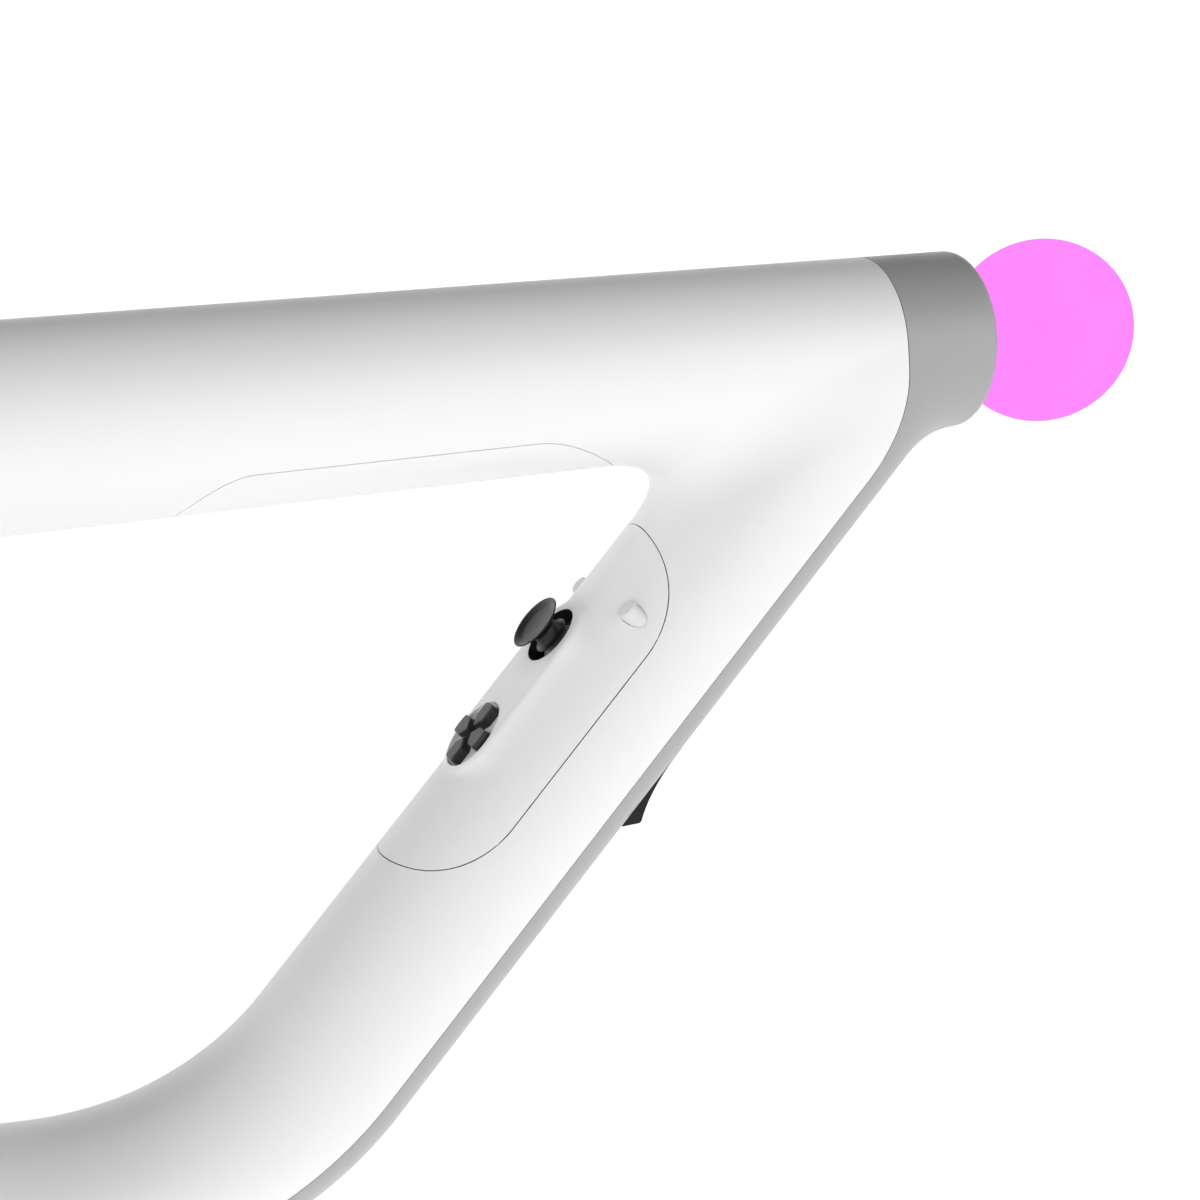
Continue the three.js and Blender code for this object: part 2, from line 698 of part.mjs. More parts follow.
function sideButtons(deck) {
  const group = placed(shifted(deck, SIDE_BUTTON_AT, 0, 0));
  for (const [name, y] of [['left', -SIDE_BUTTON.y], ['right', SIDE_BUTTON.y]]) {
    const button = roundButton(SIDE_BUTTON.radius, SIDE_BUTTON.foot, SIDE_BUTTON.top);
    const mesh = meshOf(`front_side_button_${name}`, button, 'shell');
    mesh.position.y = y;
    group.add(mesh);
  }
  return group;
}

// ---------------------------------------------------------------- ball and muzzle

const NECK = { outer: 9, inner: 7.9, guide: 7.5 };

// Hollow ball about the X axis, open at its back for the neck.
function trackingBall() {
  const inner = BALL_RADIUS - WALL;
  const meridian = (radius, hole, steps) => {
    const end = Math.PI - Math.asin(hole / radius);
    return arcPoints(new THREE.Vector2(), radius, 0, end, steps).map(({ x, y }) => [y, x]);
  };
  const outerArc = meridian(BALL_RADIUS, NECK.outer + 0.1, 11);
  const innerArc = meridian(inner, NECK.outer - 0.8, 6).reverse();
  outerArc[0][0] = 0;
  innerArc[innerArc.length - 1][0] = 0;
  return solid(turned([...outerArc, ...innerArc], TUBE_SIDES), alongX());
}

// Turns the Z axis onto X.
const alongX = () => new THREE.Matrix4().makeRotationY(Math.PI / 2);

function ring(inner, outer, rear, front) {
  const profile = [[inner, rear], [outer, rear], [outer, front], [inner, front], [inner, rear]];
  return solid(turned(profile, MIDDLE_SIDES), alongX());
}

// Dish that the ball sits in front of.
function ballSocket() {
  const outer = BORE_RADIUS - GAP;
  const inner = NECK.outer + GAP;
  const profile = [[inner, -32], [outer, -32], [outer, -27.3], [outer - 1.2, -27.3], [inner, -29]];
  return solid(turned([...profile, profile[0]], MIDDLE_SIDES), alongX());
}

function muzzleParts() {
  const group = new THREE.Group();
  const neckFront = -Math.sqrt(BALL_RADIUS ** 2 - NECK.outer ** 2) - GAP - 0.2;
  group.add(
    meshOf('tracking_ball', trackingBall(), 'glow'),
    meshOf('ball_neck', ring(NECK.inner, NECK.outer, -41, neckFront), 'dark'),
    meshOf('ball_socket', ballSocket(), 'dark'),
    meshOf('light_guide', solid(rod(NECK.guide, -42, -14, 16), alongX()), 'clear'),
    meshOf('led_board', solid(rod(12, -44, -42.4, 16), alongX()), 'board'),
  );
  return group;
}

// ---------------------------------------------------------------- the inside

// Vibration motor: a can with a shaft, along its group's X axis.
function motorCan() {
  const can = solid(rod(8, 0, 16, 14));
  return union(can, solid(rod(1, 15, 24, 8)));
}

// Half-disc weight on the shaft, with a bore that clears it.
function motorWeight() {
  const shape = new THREE.Shape().absarc(0, 0, 6.5, 0, Math.PI);
  const eccentric = union(solid(plate(shape, 17, 22)), solid(rod(2.4, 17, 22, 12)));
  return cut(eccentric, solid(rod(1 + GAP, 16, 23, 8)));
}

function vibrationMotor(prefix, frame, along) {
  const group = placed(shifted(frame, along, 0, 0));
  const onAxis = new THREE.Group();
  onAxis.rotation.y = Math.PI / 2;
  onAxis.add(
    meshOf(`${prefix}_motor`, motorCan(), 'steel'),
    meshOf(`${prefix}_motor_weight`, motorWeight(), 'steel'),
  );
  group.add(onAxis);
  return group;
}

function boardsAndBattery() {
  const group = new THREE.Group();
  const part = (name, low, high, slot) => group.add(meshOf(name, solid(block(low, high)), slot));
  part('main_board', [-236, -15, 8], [-128, 15, 9.6], 'board');
  part('battery_pack', [-210, -13.5, -11.5], [-128, 13.5, 3], 'battery');
  return group;
}

function podBoard(name, deck) {
  const board = solid(block([3, -9.8, -7.4], [DECK_HALF_LENGTH - 3, 9.8, -5.8]), deck);
  return meshOf(name, board, 'board');
}

// Charging socket in the underside of the bottom tube.
const USB = { x: -282, halfLength: 4.4, halfHeight: 1.6, depth: 7 };

function usbPort() {
  const mouth = BOTTOM_Z - TUBE_RADIUS + 0.8;
  const { x, halfLength, halfHeight, depth } = USB;
  const shell = block([x - halfLength, -halfHeight, mouth], [x + halfLength, halfHeight, mouth + depth]);
  const [l, h] = [halfLength - 0.5, halfHeight - 0.5];
  const hollow = block([x - l, -h, mouth - 1], [x + l, h, mouth + depth - 1]);
  return cut(solid(shell), solid(hollow));
}

function usbHole() {
  const { x, halfLength, halfHeight } = USB;
  const [l, h] = [halfLength + GAP, halfHeight + GAP];
  return solid(block([x - l, -h, BOTTOM_Z - TUBE_RADIUS - 2], [x + l, h, BOTTOM_Z - 8]));
}

function shellScrews() {
  return SCREWS.map(([x, z], i) => {
    const head = solid(rod(SCREW.head, SCREW.seat + GAP, SCREW.seat + 2), across(x, z));
    const shank = solid(rod(SCREW.shank, -7, SCREW.seat + 1, 10), across(x, z));
    return meshOf(`shell_screw_${i + 1}`, union(head, shank), 'steel');
  });
}

// ---------------------------------------------------------------- assembly

function placed(frame) {
  const group = new THREE.Group();
  group.applyMatrix4(frame);
  return group;
}

// The skin is one wall all round the loop, divided into its covers by the zones above.
function covers() {
  const body = union(tubeBody(), deckBlock(FRONT_DECK), deckBlock(REAR_DECK));
  const skin = cut(body, tubeBore());
  const sideHoles = [-1, 1].map((side) => [SIDE_BUTTON.radius + GAP, SIDE_BUTTON_AT, side * SIDE_BUTTON.y]);
  const homeHole = [HOME_BUTTON.radius + GAP, HOME_BUTTON.at, 0];
  const lightHole = [STATUS_LIGHT.radius + GAP, STATUS_LIGHT.at, 0];
  const frontPod = cut(
    skin.intersect(podZone(FRONT_DECK, GAP / 2)),
    ...podOpenings(FRONT_DECK, dpadHoles(), sideHoles),
  );
  const rearPod = cut(
    skin.intersect(podZone(REAR_DECK, GAP / 2)),
    ...podOpenings(REAR_DECK, faceHoles(), [homeHole, lightHole]),
  );
  const spine = cut(
    union(skin.intersect(stripZone(GAP / 2)), ...pinBosses(FRONT_TRIGGER, FRONT_TRIGGER_FRAME, [-1, 1])),
    triggerSlot(FRONT_TRIGGER, FRONT_TRIGGER_FRAME),
  );
  const panel = skin.intersect(panelZone(GAP / 2));
  const pad = body.intersect(padZone(GAP / 2, BUTT_X));
  return { skin, frontPod, rearPod, spine, panel, pad };
}

function halfShell(skin, side) {
  const half = solid(block([-500, side > 0 ? GAP / 2 : -60, -300], [60, side > 0 ? 60 : -GAP / 2, 60]));
  const bosses = pinBosses(MAIN_TRIGGER, REAR_FRAME, [-side]);
  const shell = cut(
    skin,
    stripZone(-GAP / 2),
    podZone(FRONT_DECK, -GAP / 2),
    podZone(REAR_DECK, -GAP / 2),
    panelZone(-GAP / 2),
    padZone(-GAP / 2, BUTT_X - 100),
    triggerSlot(MAIN_TRIGGER, REAR_FRAME),
  );
  return cut(union(shell.intersect(half), ...screwPosts(side), ...bosses), ...screwHoles(), usbHole());
}

function controller() {
  const { skin, frontPod, rearPod, spine, panel, pad } = covers();
  const group = new THREE.Group();
  group.add(
    meshOf('left_shell', halfShell(skin, 1), 'shell'),
    meshOf('right_shell', halfShell(skin, -1), 'shell'),
    meshOf('front_spine', cut(spine, usbHole()), 'trim'),
    meshOf('underside_panel', panel, 'shell'),
    meshOf('front_control_pod', frontPod, 'shell'),
    meshOf('rear_control_pod', rearPod, 'shell'),
    meshOf('butt_pad', pad, 'rubber'),
    muzzleParts(),
    thumbstick('front', FRONT_DECK),
    thumbstick('rear', REAR_DECK),
    dpad(FRONT_DECK),
    faceButtons(REAR_DECK),
    sideButtons(FRONT_DECK),
    triggerParts('front', FRONT_TRIGGER, FRONT_TRIGGER_FRAME),
    triggerParts('main', MAIN_TRIGGER, REAR_FRAME),
    podBoard('front_board', FRONT_DECK),
    podBoard('rear_board', REAR_DECK),
    boardsAndBattery(),
    vibrationMotor('front', FRONT_FRAME, 168),
    vibrationMotor('rear', REAR_FRAME, 84),
    meshOf('usb_port', usbPort(), 'steel'),
    ...shellScrews(),
  );
  const home = placed(shifted(REAR_DECK, HOME_BUTTON.at, 0, 0));
  home.add(meshOf('home_button', roundButton(HOME_BUTTON.radius, HOME_BUTTON.foot, HOME_BUTTON.top), 'keys'));
  const light = placed(shifted(REAR_DECK, STATUS_LIGHT.at, 0, 0));
  light.add(meshOf('status_light', roundButton(STATUS_LIGHT.radius, -3, 0.1), 'clear'));
  group.add(home, light);
  return group;
}

const model = controller();
model.position.set(-(BALL_RADIUS + BUTT_X) / 2, 0, TUBE_RADIUS - BOTTOM_Z);

export default model;
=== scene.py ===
"""Looks of a two-handed VR motion controller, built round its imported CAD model.

Shapes are worked out in millimetres in the design frame: the origin is the tracking ball's centre,
+X leaves the muzzle, +Y is the left side and +Z is up. The skin is the zero surface of one distance
field, so its covers meet exactly, and each cover is that surface clipped along its seams.
"""

import json
import math
from itertools import product

import bpy
import numpy as np
from mathutils import Matrix, Vector

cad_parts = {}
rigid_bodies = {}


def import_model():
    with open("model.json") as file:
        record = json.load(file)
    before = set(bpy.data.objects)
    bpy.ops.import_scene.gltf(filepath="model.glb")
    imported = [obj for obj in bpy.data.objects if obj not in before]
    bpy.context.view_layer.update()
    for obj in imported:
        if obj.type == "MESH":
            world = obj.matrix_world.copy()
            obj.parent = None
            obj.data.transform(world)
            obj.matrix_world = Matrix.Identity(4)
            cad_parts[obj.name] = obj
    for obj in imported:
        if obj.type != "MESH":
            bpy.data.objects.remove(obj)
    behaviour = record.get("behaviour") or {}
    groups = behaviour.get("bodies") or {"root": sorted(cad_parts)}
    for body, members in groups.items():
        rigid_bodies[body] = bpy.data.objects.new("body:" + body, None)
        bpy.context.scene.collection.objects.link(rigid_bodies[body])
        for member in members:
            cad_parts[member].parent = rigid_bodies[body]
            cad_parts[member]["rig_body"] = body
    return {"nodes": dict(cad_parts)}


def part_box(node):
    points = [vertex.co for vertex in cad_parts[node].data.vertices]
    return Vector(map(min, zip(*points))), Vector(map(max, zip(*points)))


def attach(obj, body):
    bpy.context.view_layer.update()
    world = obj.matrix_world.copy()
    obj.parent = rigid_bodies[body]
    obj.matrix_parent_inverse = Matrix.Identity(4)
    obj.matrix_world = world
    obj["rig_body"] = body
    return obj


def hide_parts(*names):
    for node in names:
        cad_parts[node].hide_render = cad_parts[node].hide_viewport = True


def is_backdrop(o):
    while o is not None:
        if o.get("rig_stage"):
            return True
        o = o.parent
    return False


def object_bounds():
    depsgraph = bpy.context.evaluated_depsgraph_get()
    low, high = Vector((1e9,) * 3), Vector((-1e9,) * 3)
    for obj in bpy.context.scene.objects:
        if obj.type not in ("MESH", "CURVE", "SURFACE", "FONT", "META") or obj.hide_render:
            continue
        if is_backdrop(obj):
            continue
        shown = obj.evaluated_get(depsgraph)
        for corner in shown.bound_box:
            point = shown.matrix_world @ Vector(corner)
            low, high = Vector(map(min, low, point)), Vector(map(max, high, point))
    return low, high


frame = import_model()
cad_low, cad_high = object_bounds()

MM = 0.001

# ---- driving values from the frame

ball_low, ball_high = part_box("tracking_ball")
BALL_RADIUS = (ball_high.z - ball_low.z) / 2 / MM
ORIGIN = np.array([ball_high.x / MM - BALL_RADIUS, 0, (ball_low.z + ball_high.z) / 2 / MM])


def cad_box(node):
    """Lowest and highest corner of a CAD node in the design frame, in millimetres."""
    low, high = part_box(node)
    return np.array(low) / MM - ORIGIN, np.array(high) / MM - ORIGIN


_, shell_high = cad_box("left_shell")
spine_low, spine_high = cad_box("front_spine")
pad_low, pad_high = cad_box("butt_pad")

TUBE_RADIUS = shell_high[1]
MUZZLE_X = spine_high[0]
BUTT_X = pad_low[0]
SEAM_GAP = 0.3
# Half a seam as cut in the skin, and the rounding of its lips, which close the seam to a hairline.
SEAM = 0.2
LIP = 0.09
PAD_SEAM_X = pad_high[0] + SEAM_GAP / 2
BOTTOM_Z = spine_low[2] + TUBE_RADIUS
RING_REAR_X = -50.7
STOCK_BEND_X = -365
STOCK_BEND_RADIUS = 120
STOCK_DROP = math.radians(12)

FRONT_GRIP_X, FRONT_SLOPE = -45.7, math.radians(45)
REAR_GRIP_X, REAR_SLOPE = -285.6, math.radians(73)
REAR_BEND_RADIUS = 32

# The front bend's inner and outer sides follow tubes with axes of their own: the inner one dips below
# the bottom tube's axis before it rises to it.
INNER_BEND_RADIUS, OUTER_BEND_RADIUS = 82.5, 62
DIP_DEPTH = 9.3
DIP_REAR_X = -288.6
DIP_REAR_RADIUS = 90

# Roundness of the joins between the top tube and the two grips, and of the two ends' edges.
FRONT_JOIN = 18.0
REAR_JOIN = 16.0
FRONT_JOIN_END_X, REAR_JOIN_START_X = -160, -240
MUZZLE_EDGE = 1.6
BUTT_EDGE = 7.0

# The grey strip's seam lies this far in front of the grip's axis.
STRIP_SEAM_OFFSET = 10.1
STRIP_REAR_X = spine_low[0] - SEAM_GAP / 2

# Decks: along, across and out are a deck's own axes, with the stick and the cluster on its axis.
DECK_RADIUS = 9.7
DECK_WALL_LEAN = math.radians(32)
DECK_ROOT = 8
DECK_FILLET = 1.3
DECK_CREASE = 0.9
DECK_CLEARANCE = 7
POD_HALF_LENGTH = 36.9
POD_MIDDLE = -1.2
POD_SEAM_DEPTH = 13.3
STICK_AT = -16.4
CLUSTER_AT = 12.2
SIDE_BUTTON_AT, SIDE_BUTTON_ACROSS, SIDE_BUTTON_RADIUS = -30.7, 15.1, 2.3
HOME_AT, HOME_RADIUS = 25.2, 2.5
LIGHT_AT, LIGHT_RADIUS = -26.6, 1.1

# ---- paths in a plane


def unit(vectors):
    return vectors / np.maximum(np.linalg.norm(vectors, axis=-1, keepdims=True), 1e-12)


class Line:
    def __init__(self, start, end):
        self.start = np.array(start, float)
        self.end = np.array(end, float)
        self.way = unit(self.end - self.start)
        self.length = np.linalg.norm(self.end - self.start)

    def nearest(self, points):
        along = np.clip((points - self.start) @ self.way, 0, self.length)
        return self.start + along[:, None] * self.way

    def side(self, points):
        offset = points - self.start
        return self.way[0] * offset[:, 1] - self.way[1] * offset[:, 0]

    def sample(self, step):
        return [self.start, self.end]


class Arc:
    def __init__(self, centre, radius, start, turn):
        self.centre, self.radius, self.start, self.turn = centre, radius, start, turn

    def point(self, angle):
        return self.centre + self.radius * np.stack([np.cos(angle), np.sin(angle)], -1)

    def nearest(self, points):
        offset = points - self.centre
        middle = self.start + self.turn / 2
        angle = np.arctan2(offset[:, 1], offset[:, 0]) - middle
        angle = (angle + math.pi) % (2 * math.pi) - math.pi
        half = abs(self.turn) / 2
        return self.point(middle + np.clip(angle, -half, half))

    def side(self, points):
        distance = np.linalg.norm(points - self.centre, axis=1)
        return math.copysign(1, self.turn) * (self.radius - distance)

    def sample(self, step):
        count = max(2, math.ceil(abs(self.turn) / step) + 1)
        return list(self.point(np.linspace(self.start, self.start + self.turn, count)))


class Path:
    """Straight runs joined by arcs: each corner is (x, y) or (x, y, radius)."""

    def __init__(self, corners):
        self.pieces = []
        here = np.array(corners[0][:2], float)
        for before, corner, after in zip(corners, corners[1:], corners[2:]):
            arc = corner_arc(*(np.array(c[:2], float) for c in (before, corner, after)), corner[2])
            start = arc.point(arc.start)
            if np.linalg.norm(start - here) > 1e-6:
                self.pieces.append(Line(here, start))
            self.pieces.append(arc)
            here = arc.point(arc.start + arc.turn)
        self.pieces.append(Line(here, corners[-1][:2]))

    def nearest(self, points):
        return self.nearest_and_side(points)[0]

    def side(self, points):
        """Distance from the path, positive on its left."""
        nearest, side = self.nearest_and_side(points)
        return np.copysign(np.linalg.norm(points - nearest, axis=1), side)

    def nearest_and_side(self, points):
        best = np.full(len(points), np.inf)
        nearest, side = np.zeros((len(points), 2)), np.zeros(len(points))
        for piece in self.pieces:
            candidate = piece.nearest(points)
            distance = np.linalg.norm(points - candidate, axis=1)
            closer = distance < best - 1e-9
            best[closer] = distance[closer]
            nearest[closer] = candidate[closer]
            side[closer] = piece.side(points[closer])
        return nearest, side

    def sample(self, step=math.radians(10)):
        points = [p for piece in self.pieces for p in piece.sample(step)]
        kept = [points[0]]
        for point in points[1:]:
            if np.linalg.norm(point - kept[-1]) > 1e-4:
                kept.append(point)
        return np.array(kept)


def corner_arc(before, corner, after, radius):
    into, out = unit(corner - before), unit(after - corner)
    turn = math.atan2(into[0] * out[1] - into[1] * out[0], into @ out)
    start = corner - into * radius * math.tan(abs(turn) / 2)
    left = np.array([-into[1], into[0]]) * math.copysign(1, turn)
    centre = start + left * radius
    angle = math.atan2(*(start - centre)[::-1])
    return Arc(centre, radius, angle, turn)


# ---- frames


class Place:
    """A frame in the middle plane: along and out lie in it, and across is out x along."""

    def __init__(self, origin, along, out):
        along, out = (np.array([v[0], 0, v[1]], float) for v in (along, out))
        self.origin = np.array([origin[0], 0, origin[1]], float)
        self.axes = np.stack([along, np.cross(out, along), out])

    def local(self, points):
        return (points - self.origin) @ self.axes.T

    def world(self, points):
        return np.asarray(points, float) @ self.axes + self.origin

    def shifted(self, along, across=0.0, out=0.0):
        moved = Place((0, 0), (1, 0), (0, 1))
        moved.origin = self.world([along, across, out])
        moved.axes = self.axes
        return moved

    def turned(self, angle):
        """The same frame turned about its out axis."""
        c, s = math.cos(angle), math.sin(angle)
        moved = self.shifted(0)
        moved.axes = np.array([[c, s, 0], [-s, c, 0], [0, 0, 1]]) @ self.axes
        return moved


def grip_place(axis_x, slope):
    along = (-math.cos(slope), -math.sin(slope))
    out = (-math.sin(slope), math.cos(slope))
    return Place((axis_x, 0), along, out)


FRONT_PLACE = grip_place(FRONT_GRIP_X, FRONT_SLOPE)
REAR_PLACE = grip_place(REAR_GRIP_X, REAR_SLOPE)
FRONT_FOOT = -FRONT_GRIP_X * math.cos(FRONT_SLOPE)
FRONT_DECK = FRONT_PLACE.shifted(152.2 - FRONT_FOOT, 0, TUBE_RADIUS)
REAR_DECK = Place((-305, TUBE_RADIUS), (-1, 0), (0, 1))
WHOLE = Place((0, 0), (1, 0), (0, 1))

# ---- the skin as a distance field


def grip_x(axis_x, slope, z):
    return axis_x + z / math.tan(slope)


stock_run = 60
TOP_LINE = Path([
    (MUZZLE_X + 40, 0),
    (STOCK_BEND_X, 0, STOCK_BEND_RADIUS),
    (STOCK_BEND_X - stock_run, -stock_run * math.tan(STOCK_DROP)),
])
loop_front = (FRONT_GRIP_X, 0)
loop_rear = [
    (grip_x(REAR_GRIP_X, REAR_SLOPE, BOTTOM_Z), BOTTOM_Z, REAR_BEND_RADIUS),
    (REAR_GRIP_X, 0),
]
dip_z = BOTTOM_Z - DIP_DEPTH
INNER_LOOP = Path([
    loop_front,
    (grip_x(FRONT_GRIP_X, FRONT_SLOPE, dip_z), dip_z, INNER_BEND_RADIUS),
    (DIP_REAR_X, BOTTOM_Z, DIP_REAR_RADIUS),
    *loop_rear,
])
OUTER_LOOP = Path([
    loop_front,
    (grip_x(FRONT_GRIP_X, FRONT_SLOPE, BOTTOM_Z), BOTTOM_Z, OUTER_BEND_RADIUS),
    *loop_rear,
])


def smooth_min(a, b, k):
    k = np.maximum(k, 1e-6)
    overlap = np.maximum(k - np.abs(a - b), 0)
    return np.minimum(a, b) - overlap**2 / (4 * k)


def smooth_max(a, b, k):
    return -smooth_min(-a, -b, k)


def fade(values, start, end):
    """0 at start, 1 at end, smooth in between."""
    t = np.clip((values - start) / (end - start), 0, 1)
    return t * t * (3 - 2 * t)


def between(distance, height, low, high):
    """A zone's distance, limited to a range of heights."""
    return np.maximum(distance, np.maximum(low - height, height - high))


def away_from_top(points):
    """Vectors from the top tube's axis to points."""
    vectors = points.copy()
    vectors[:, [0, 2]] -= TOP_LINE.nearest(points[:, [0, 2]])
    return vectors


def away_from_loop(points):
    """Vectors from the loop's axis to points: each side has its own axis, and they blend between."""
    blend = 0.8
    flat = points[:, [0, 2]]
    outer, side = OUTER_LOOP.nearest_and_side(flat)
    outward = np.copysign(np.linalg.norm(flat - outer, axis=1), side) / TUBE_RADIUS
    share = fade(outward, -blend, blend)[:, None]
    vectors = points.copy()
    vectors[:, [0, 2]] -= share * outer + (1 - share) * INNER_LOOP.nearest(flat)
    return vectors


def with_deck(body, points, deck):
    """Adds a flat-topped island, whose walls lean outwards, round the stick and the button cluster."""
    along, across, out = deck.local(points).T
    nearest = np.clip(along, STICK_AT, CLUSTER_AT)
    outline = np.hypot(along - nearest, across) - DECK_RADIUS
    wall = outline * math.cos(DECK_WALL_LEAN) + out * math.sin(DECK_WALL_LEAN)
    island = between(wall, out, -DECK_ROOT, DECK_CLEARANCE / 2)
    body = smooth_min(body, island, DECK_FILLET)
    above = np.minimum(np.minimum(out, DECK_CLEARANCE - out), DECK_CLEARANCE - outline)
    return smooth_max(body, above, DECK_CREASE * fade(outline, DECK_CLEARANCE, 1))


def body_field(points):
    """Distance from the controller's outer skin, negative inside."""
    top, loop = away_from_top(points), away_from_loop(points)
    spread = np.linalg.norm(unit(top) - unit(loop), axis=1) / 2
    rear_share = fade(points[:, 0], FRONT_JOIN_END_X, REAR_JOIN_START_X)
    join = FRONT_JOIN + (REAR_JOIN - FRONT_JOIN) * rear_share
    join = join * spread * fade(points[:, 2], 8, -8)
    body = smooth_min(*(np.linalg.norm(v, axis=1) - TUBE_RADIUS for v in (top, loop)), join)
    body = with_deck(body, points, FRONT_DECK)
    body = with_deck(body, points, REAR_DECK)
    body = smooth_max(body, points[:, 0] - MUZZLE_X, MUZZLE_EDGE)
    return smooth_max(body, BUTT_X - points[:, 0], BUTT_EDGE)


def gradient(field, points, step=0.01):
    result = np.empty_like(points)
    for axis in range(3):
        nudge = np.zeros(3)
        nudge[axis] = step
        result[:, axis] = (field(points + nudge) - field(points - nudge)) / (2 * step)
    return result


def settle(field, points, rounds=3):
    """Points moved onto the field's zero surface."""
    for _ in range(rounds):
        slope = gradient(field, points)
        size = np.maximum((slope**2).sum(1), 0.2)
        points = points - (field(points) / size)[:, None] * slope
    return points


# ---- from a field to a mesh


def near_surface_values(field, low, step, cells, block):
    """Field values on a grid, worked out only in the blocks that the surface can pass through."""
    centres = [low[i] + step * block * (np.arange(cells[i] // block) + 0.5) for i in range(3)]
    coarse = field(np.stack(np.meshgrid(*centres, indexing="ij"), -1).reshape(-1, 3))
    coarse = coarse.reshape([len(c) for c in centres])
    spread = coarse
    for axis in range(3):
        spread = np.repeat(spread, block, axis=axis)
    near = np.abs(spread) < 1.2 * step * block
    values = np.pad(spread, [(0, 1)] * 3, mode="edge")
    needed = np.zeros(values.shape, bool)
    for shift in product((0, 1), repeat=3):
        window = tuple(slice(s, s + n) for s, n in zip(shift, near.shape))
        needed[window] |= near
    values[needed] = field(low + step * np.argwhere(needed))
    return values


def surface_net(field, low, high, step, block=4):
    """Vertices and quads of a field's zero surface inside a box."""
    low = np.array(low, float)
    cells = np.ceil((np.array(high) - low) / (step * block)).astype(int) * block
    values = near_surface_values(field, low, step, cells, block)
    inside = values < 0
    corners = list(product((0, 1), repeat=3))
    count = sum(inside[tuple(slice(c, c + n) for c, n in zip(corner, cells))].astype(int)
                for corner in corners)
    active = (count > 0) & (count < 8)
    index = np.full(active.shape, -1)
    index[active] = np.arange(active.sum())
    cell = np.argwhere(active)
    total, number = np.zeros((len(cell), 3)), np.zeros(len(cell))
    for axis in range(3):
        for corner in (c for c in corners if c[axis] == 0):
            start = cell + corner
            end = start.copy()
            end[:, axis] += 1
            a, b = values[tuple(start.T)], values[tuple(end.T)]
            crossed = (a < 0) != (b < 0)
            share = a[crossed] / (a[crossed] - b[crossed])
            point = start[crossed].astype(float)
            point[:, axis] += share
            total[crossed] += point
            number[crossed] += 1
    vertices = low + step * total / number[:, None]
    return vertices, np.concatenate([net_quads(inside, index, axis) for axis in range(3)])


def net_quads(inside, index, axis):
    """Quads across the grid edges of one direction whose ends lie on different sides."""
    u, v = (axis + 1) % 3, (axis + 2) % 3
    core = [slice(1, -1)] * 3
    core[axis] = slice(0, -1)
    ahead = list(core)
    ahead[axis] = slice(1, None)
    a, b = inside[tuple(core)], inside[tuple(ahead)]
    place = np.argwhere(a != b)
    outward = a[tuple(place.T)]
    ring = []
    for du, dv in ((0, 0), (1, 0), (1, 1), (0, 1)):
        cell = place.copy()
        cell[:, u] += du
        cell[:, v] += dv
        ring.append(index[tuple(cell.T)])
    quads = np.stack(ring, 1)
    quads[~outward] = quads[~outward][:, ::-1]
    return quads


class Skin:
    """A triangle mesh that lies on the zero surface of a field."""

    def __init__(self, field, points, triangles):
        self.field, self.points, self.triangles = field, points, triangles

    @classmethod
    def of(cls, field, low, high, step, place=None, zone=None):
        """The field's surface in a box of a frame, kept only in and near a zone."""
        place = place or WHOLE
        points, quads = surface_net(lambda local: field(place.world(local)), low, high, step)
        points = place.world(points)
        if zone is not None:
            near = zone(points)[quads].min(1) < 3 * step
            used, compact = np.unique(quads[near], return_inverse=True)
            points, quads = points[used], compact.reshape(-1, 4)
        points = settle(field, points, 2)
        for _ in range(2):
            points = settle(field, relaxed(points, quads), 1)
        points = settle(field, points, 1)
        one, two = points[quads[:, 0]] - points[quads[:, 2]], points[quads[:, 1]] - points[quads[:, 3]]
        short = (one**2).sum(1) < (two**2).sum(1)
        first = np.where(short[:, None], quads[:, [0, 1, 2]], quads[:, [0, 1, 3]])
        second = np.where(short[:, None], quads[:, [0, 2, 3]], quads[:, [1, 2, 3]])
        return cls(field, points, np.concatenate([first, second]))

    @classmethod
    def disc(cls, place, radius, height, step):
        """A flat round sheet, at a height in a frame."""
        rings = max(2, round(radius / step))
        local, triangles = [(0.0, 0.0, height)], []
        for ring in range(1, rings + 1):
            count = 6 * ring
            first, inner = len(local), len(local) - 6 * (ring - 1)
            for i in range(count):
                angle = 2 * math.pi * i / count
                reach = radius * ring / rings
                local.append((reach * math.cos(angle), reach * math.sin(angle), height))
            triangles += ring_triangles(ring, first, inner)
        def field(points):
            return place.local(points)[:, 2] - height
        return cls(field, place.world(local), np.array(triangles))

    def clipped(self, zone, margin=0.0):
        """The part where a zone's distance over the surface is below -margin."""
        value = zone(self.points)
        reach = 6.0
        close = np.abs(value) < reach
        value = np.where(close, 0, value)
        distance, _ = surface_distance(zone, self.field, self.points[close])
        value[close] = distance + margin
        points = self.points.copy()
        size = edge_size(points, self.triangles)
        snap = np.flatnonzero(np.abs(value) < 0.25 * size)
        points[snap] = settle_on_line(self.field, zone, -margin, points[snap])
        value[snap] = 0
        return split(Skin(self.field, points, self.triangles), value, zone, margin)

    def without(self, zone, margin=0.0):
        return self.clipped(lambda points: -zone(points), margin)


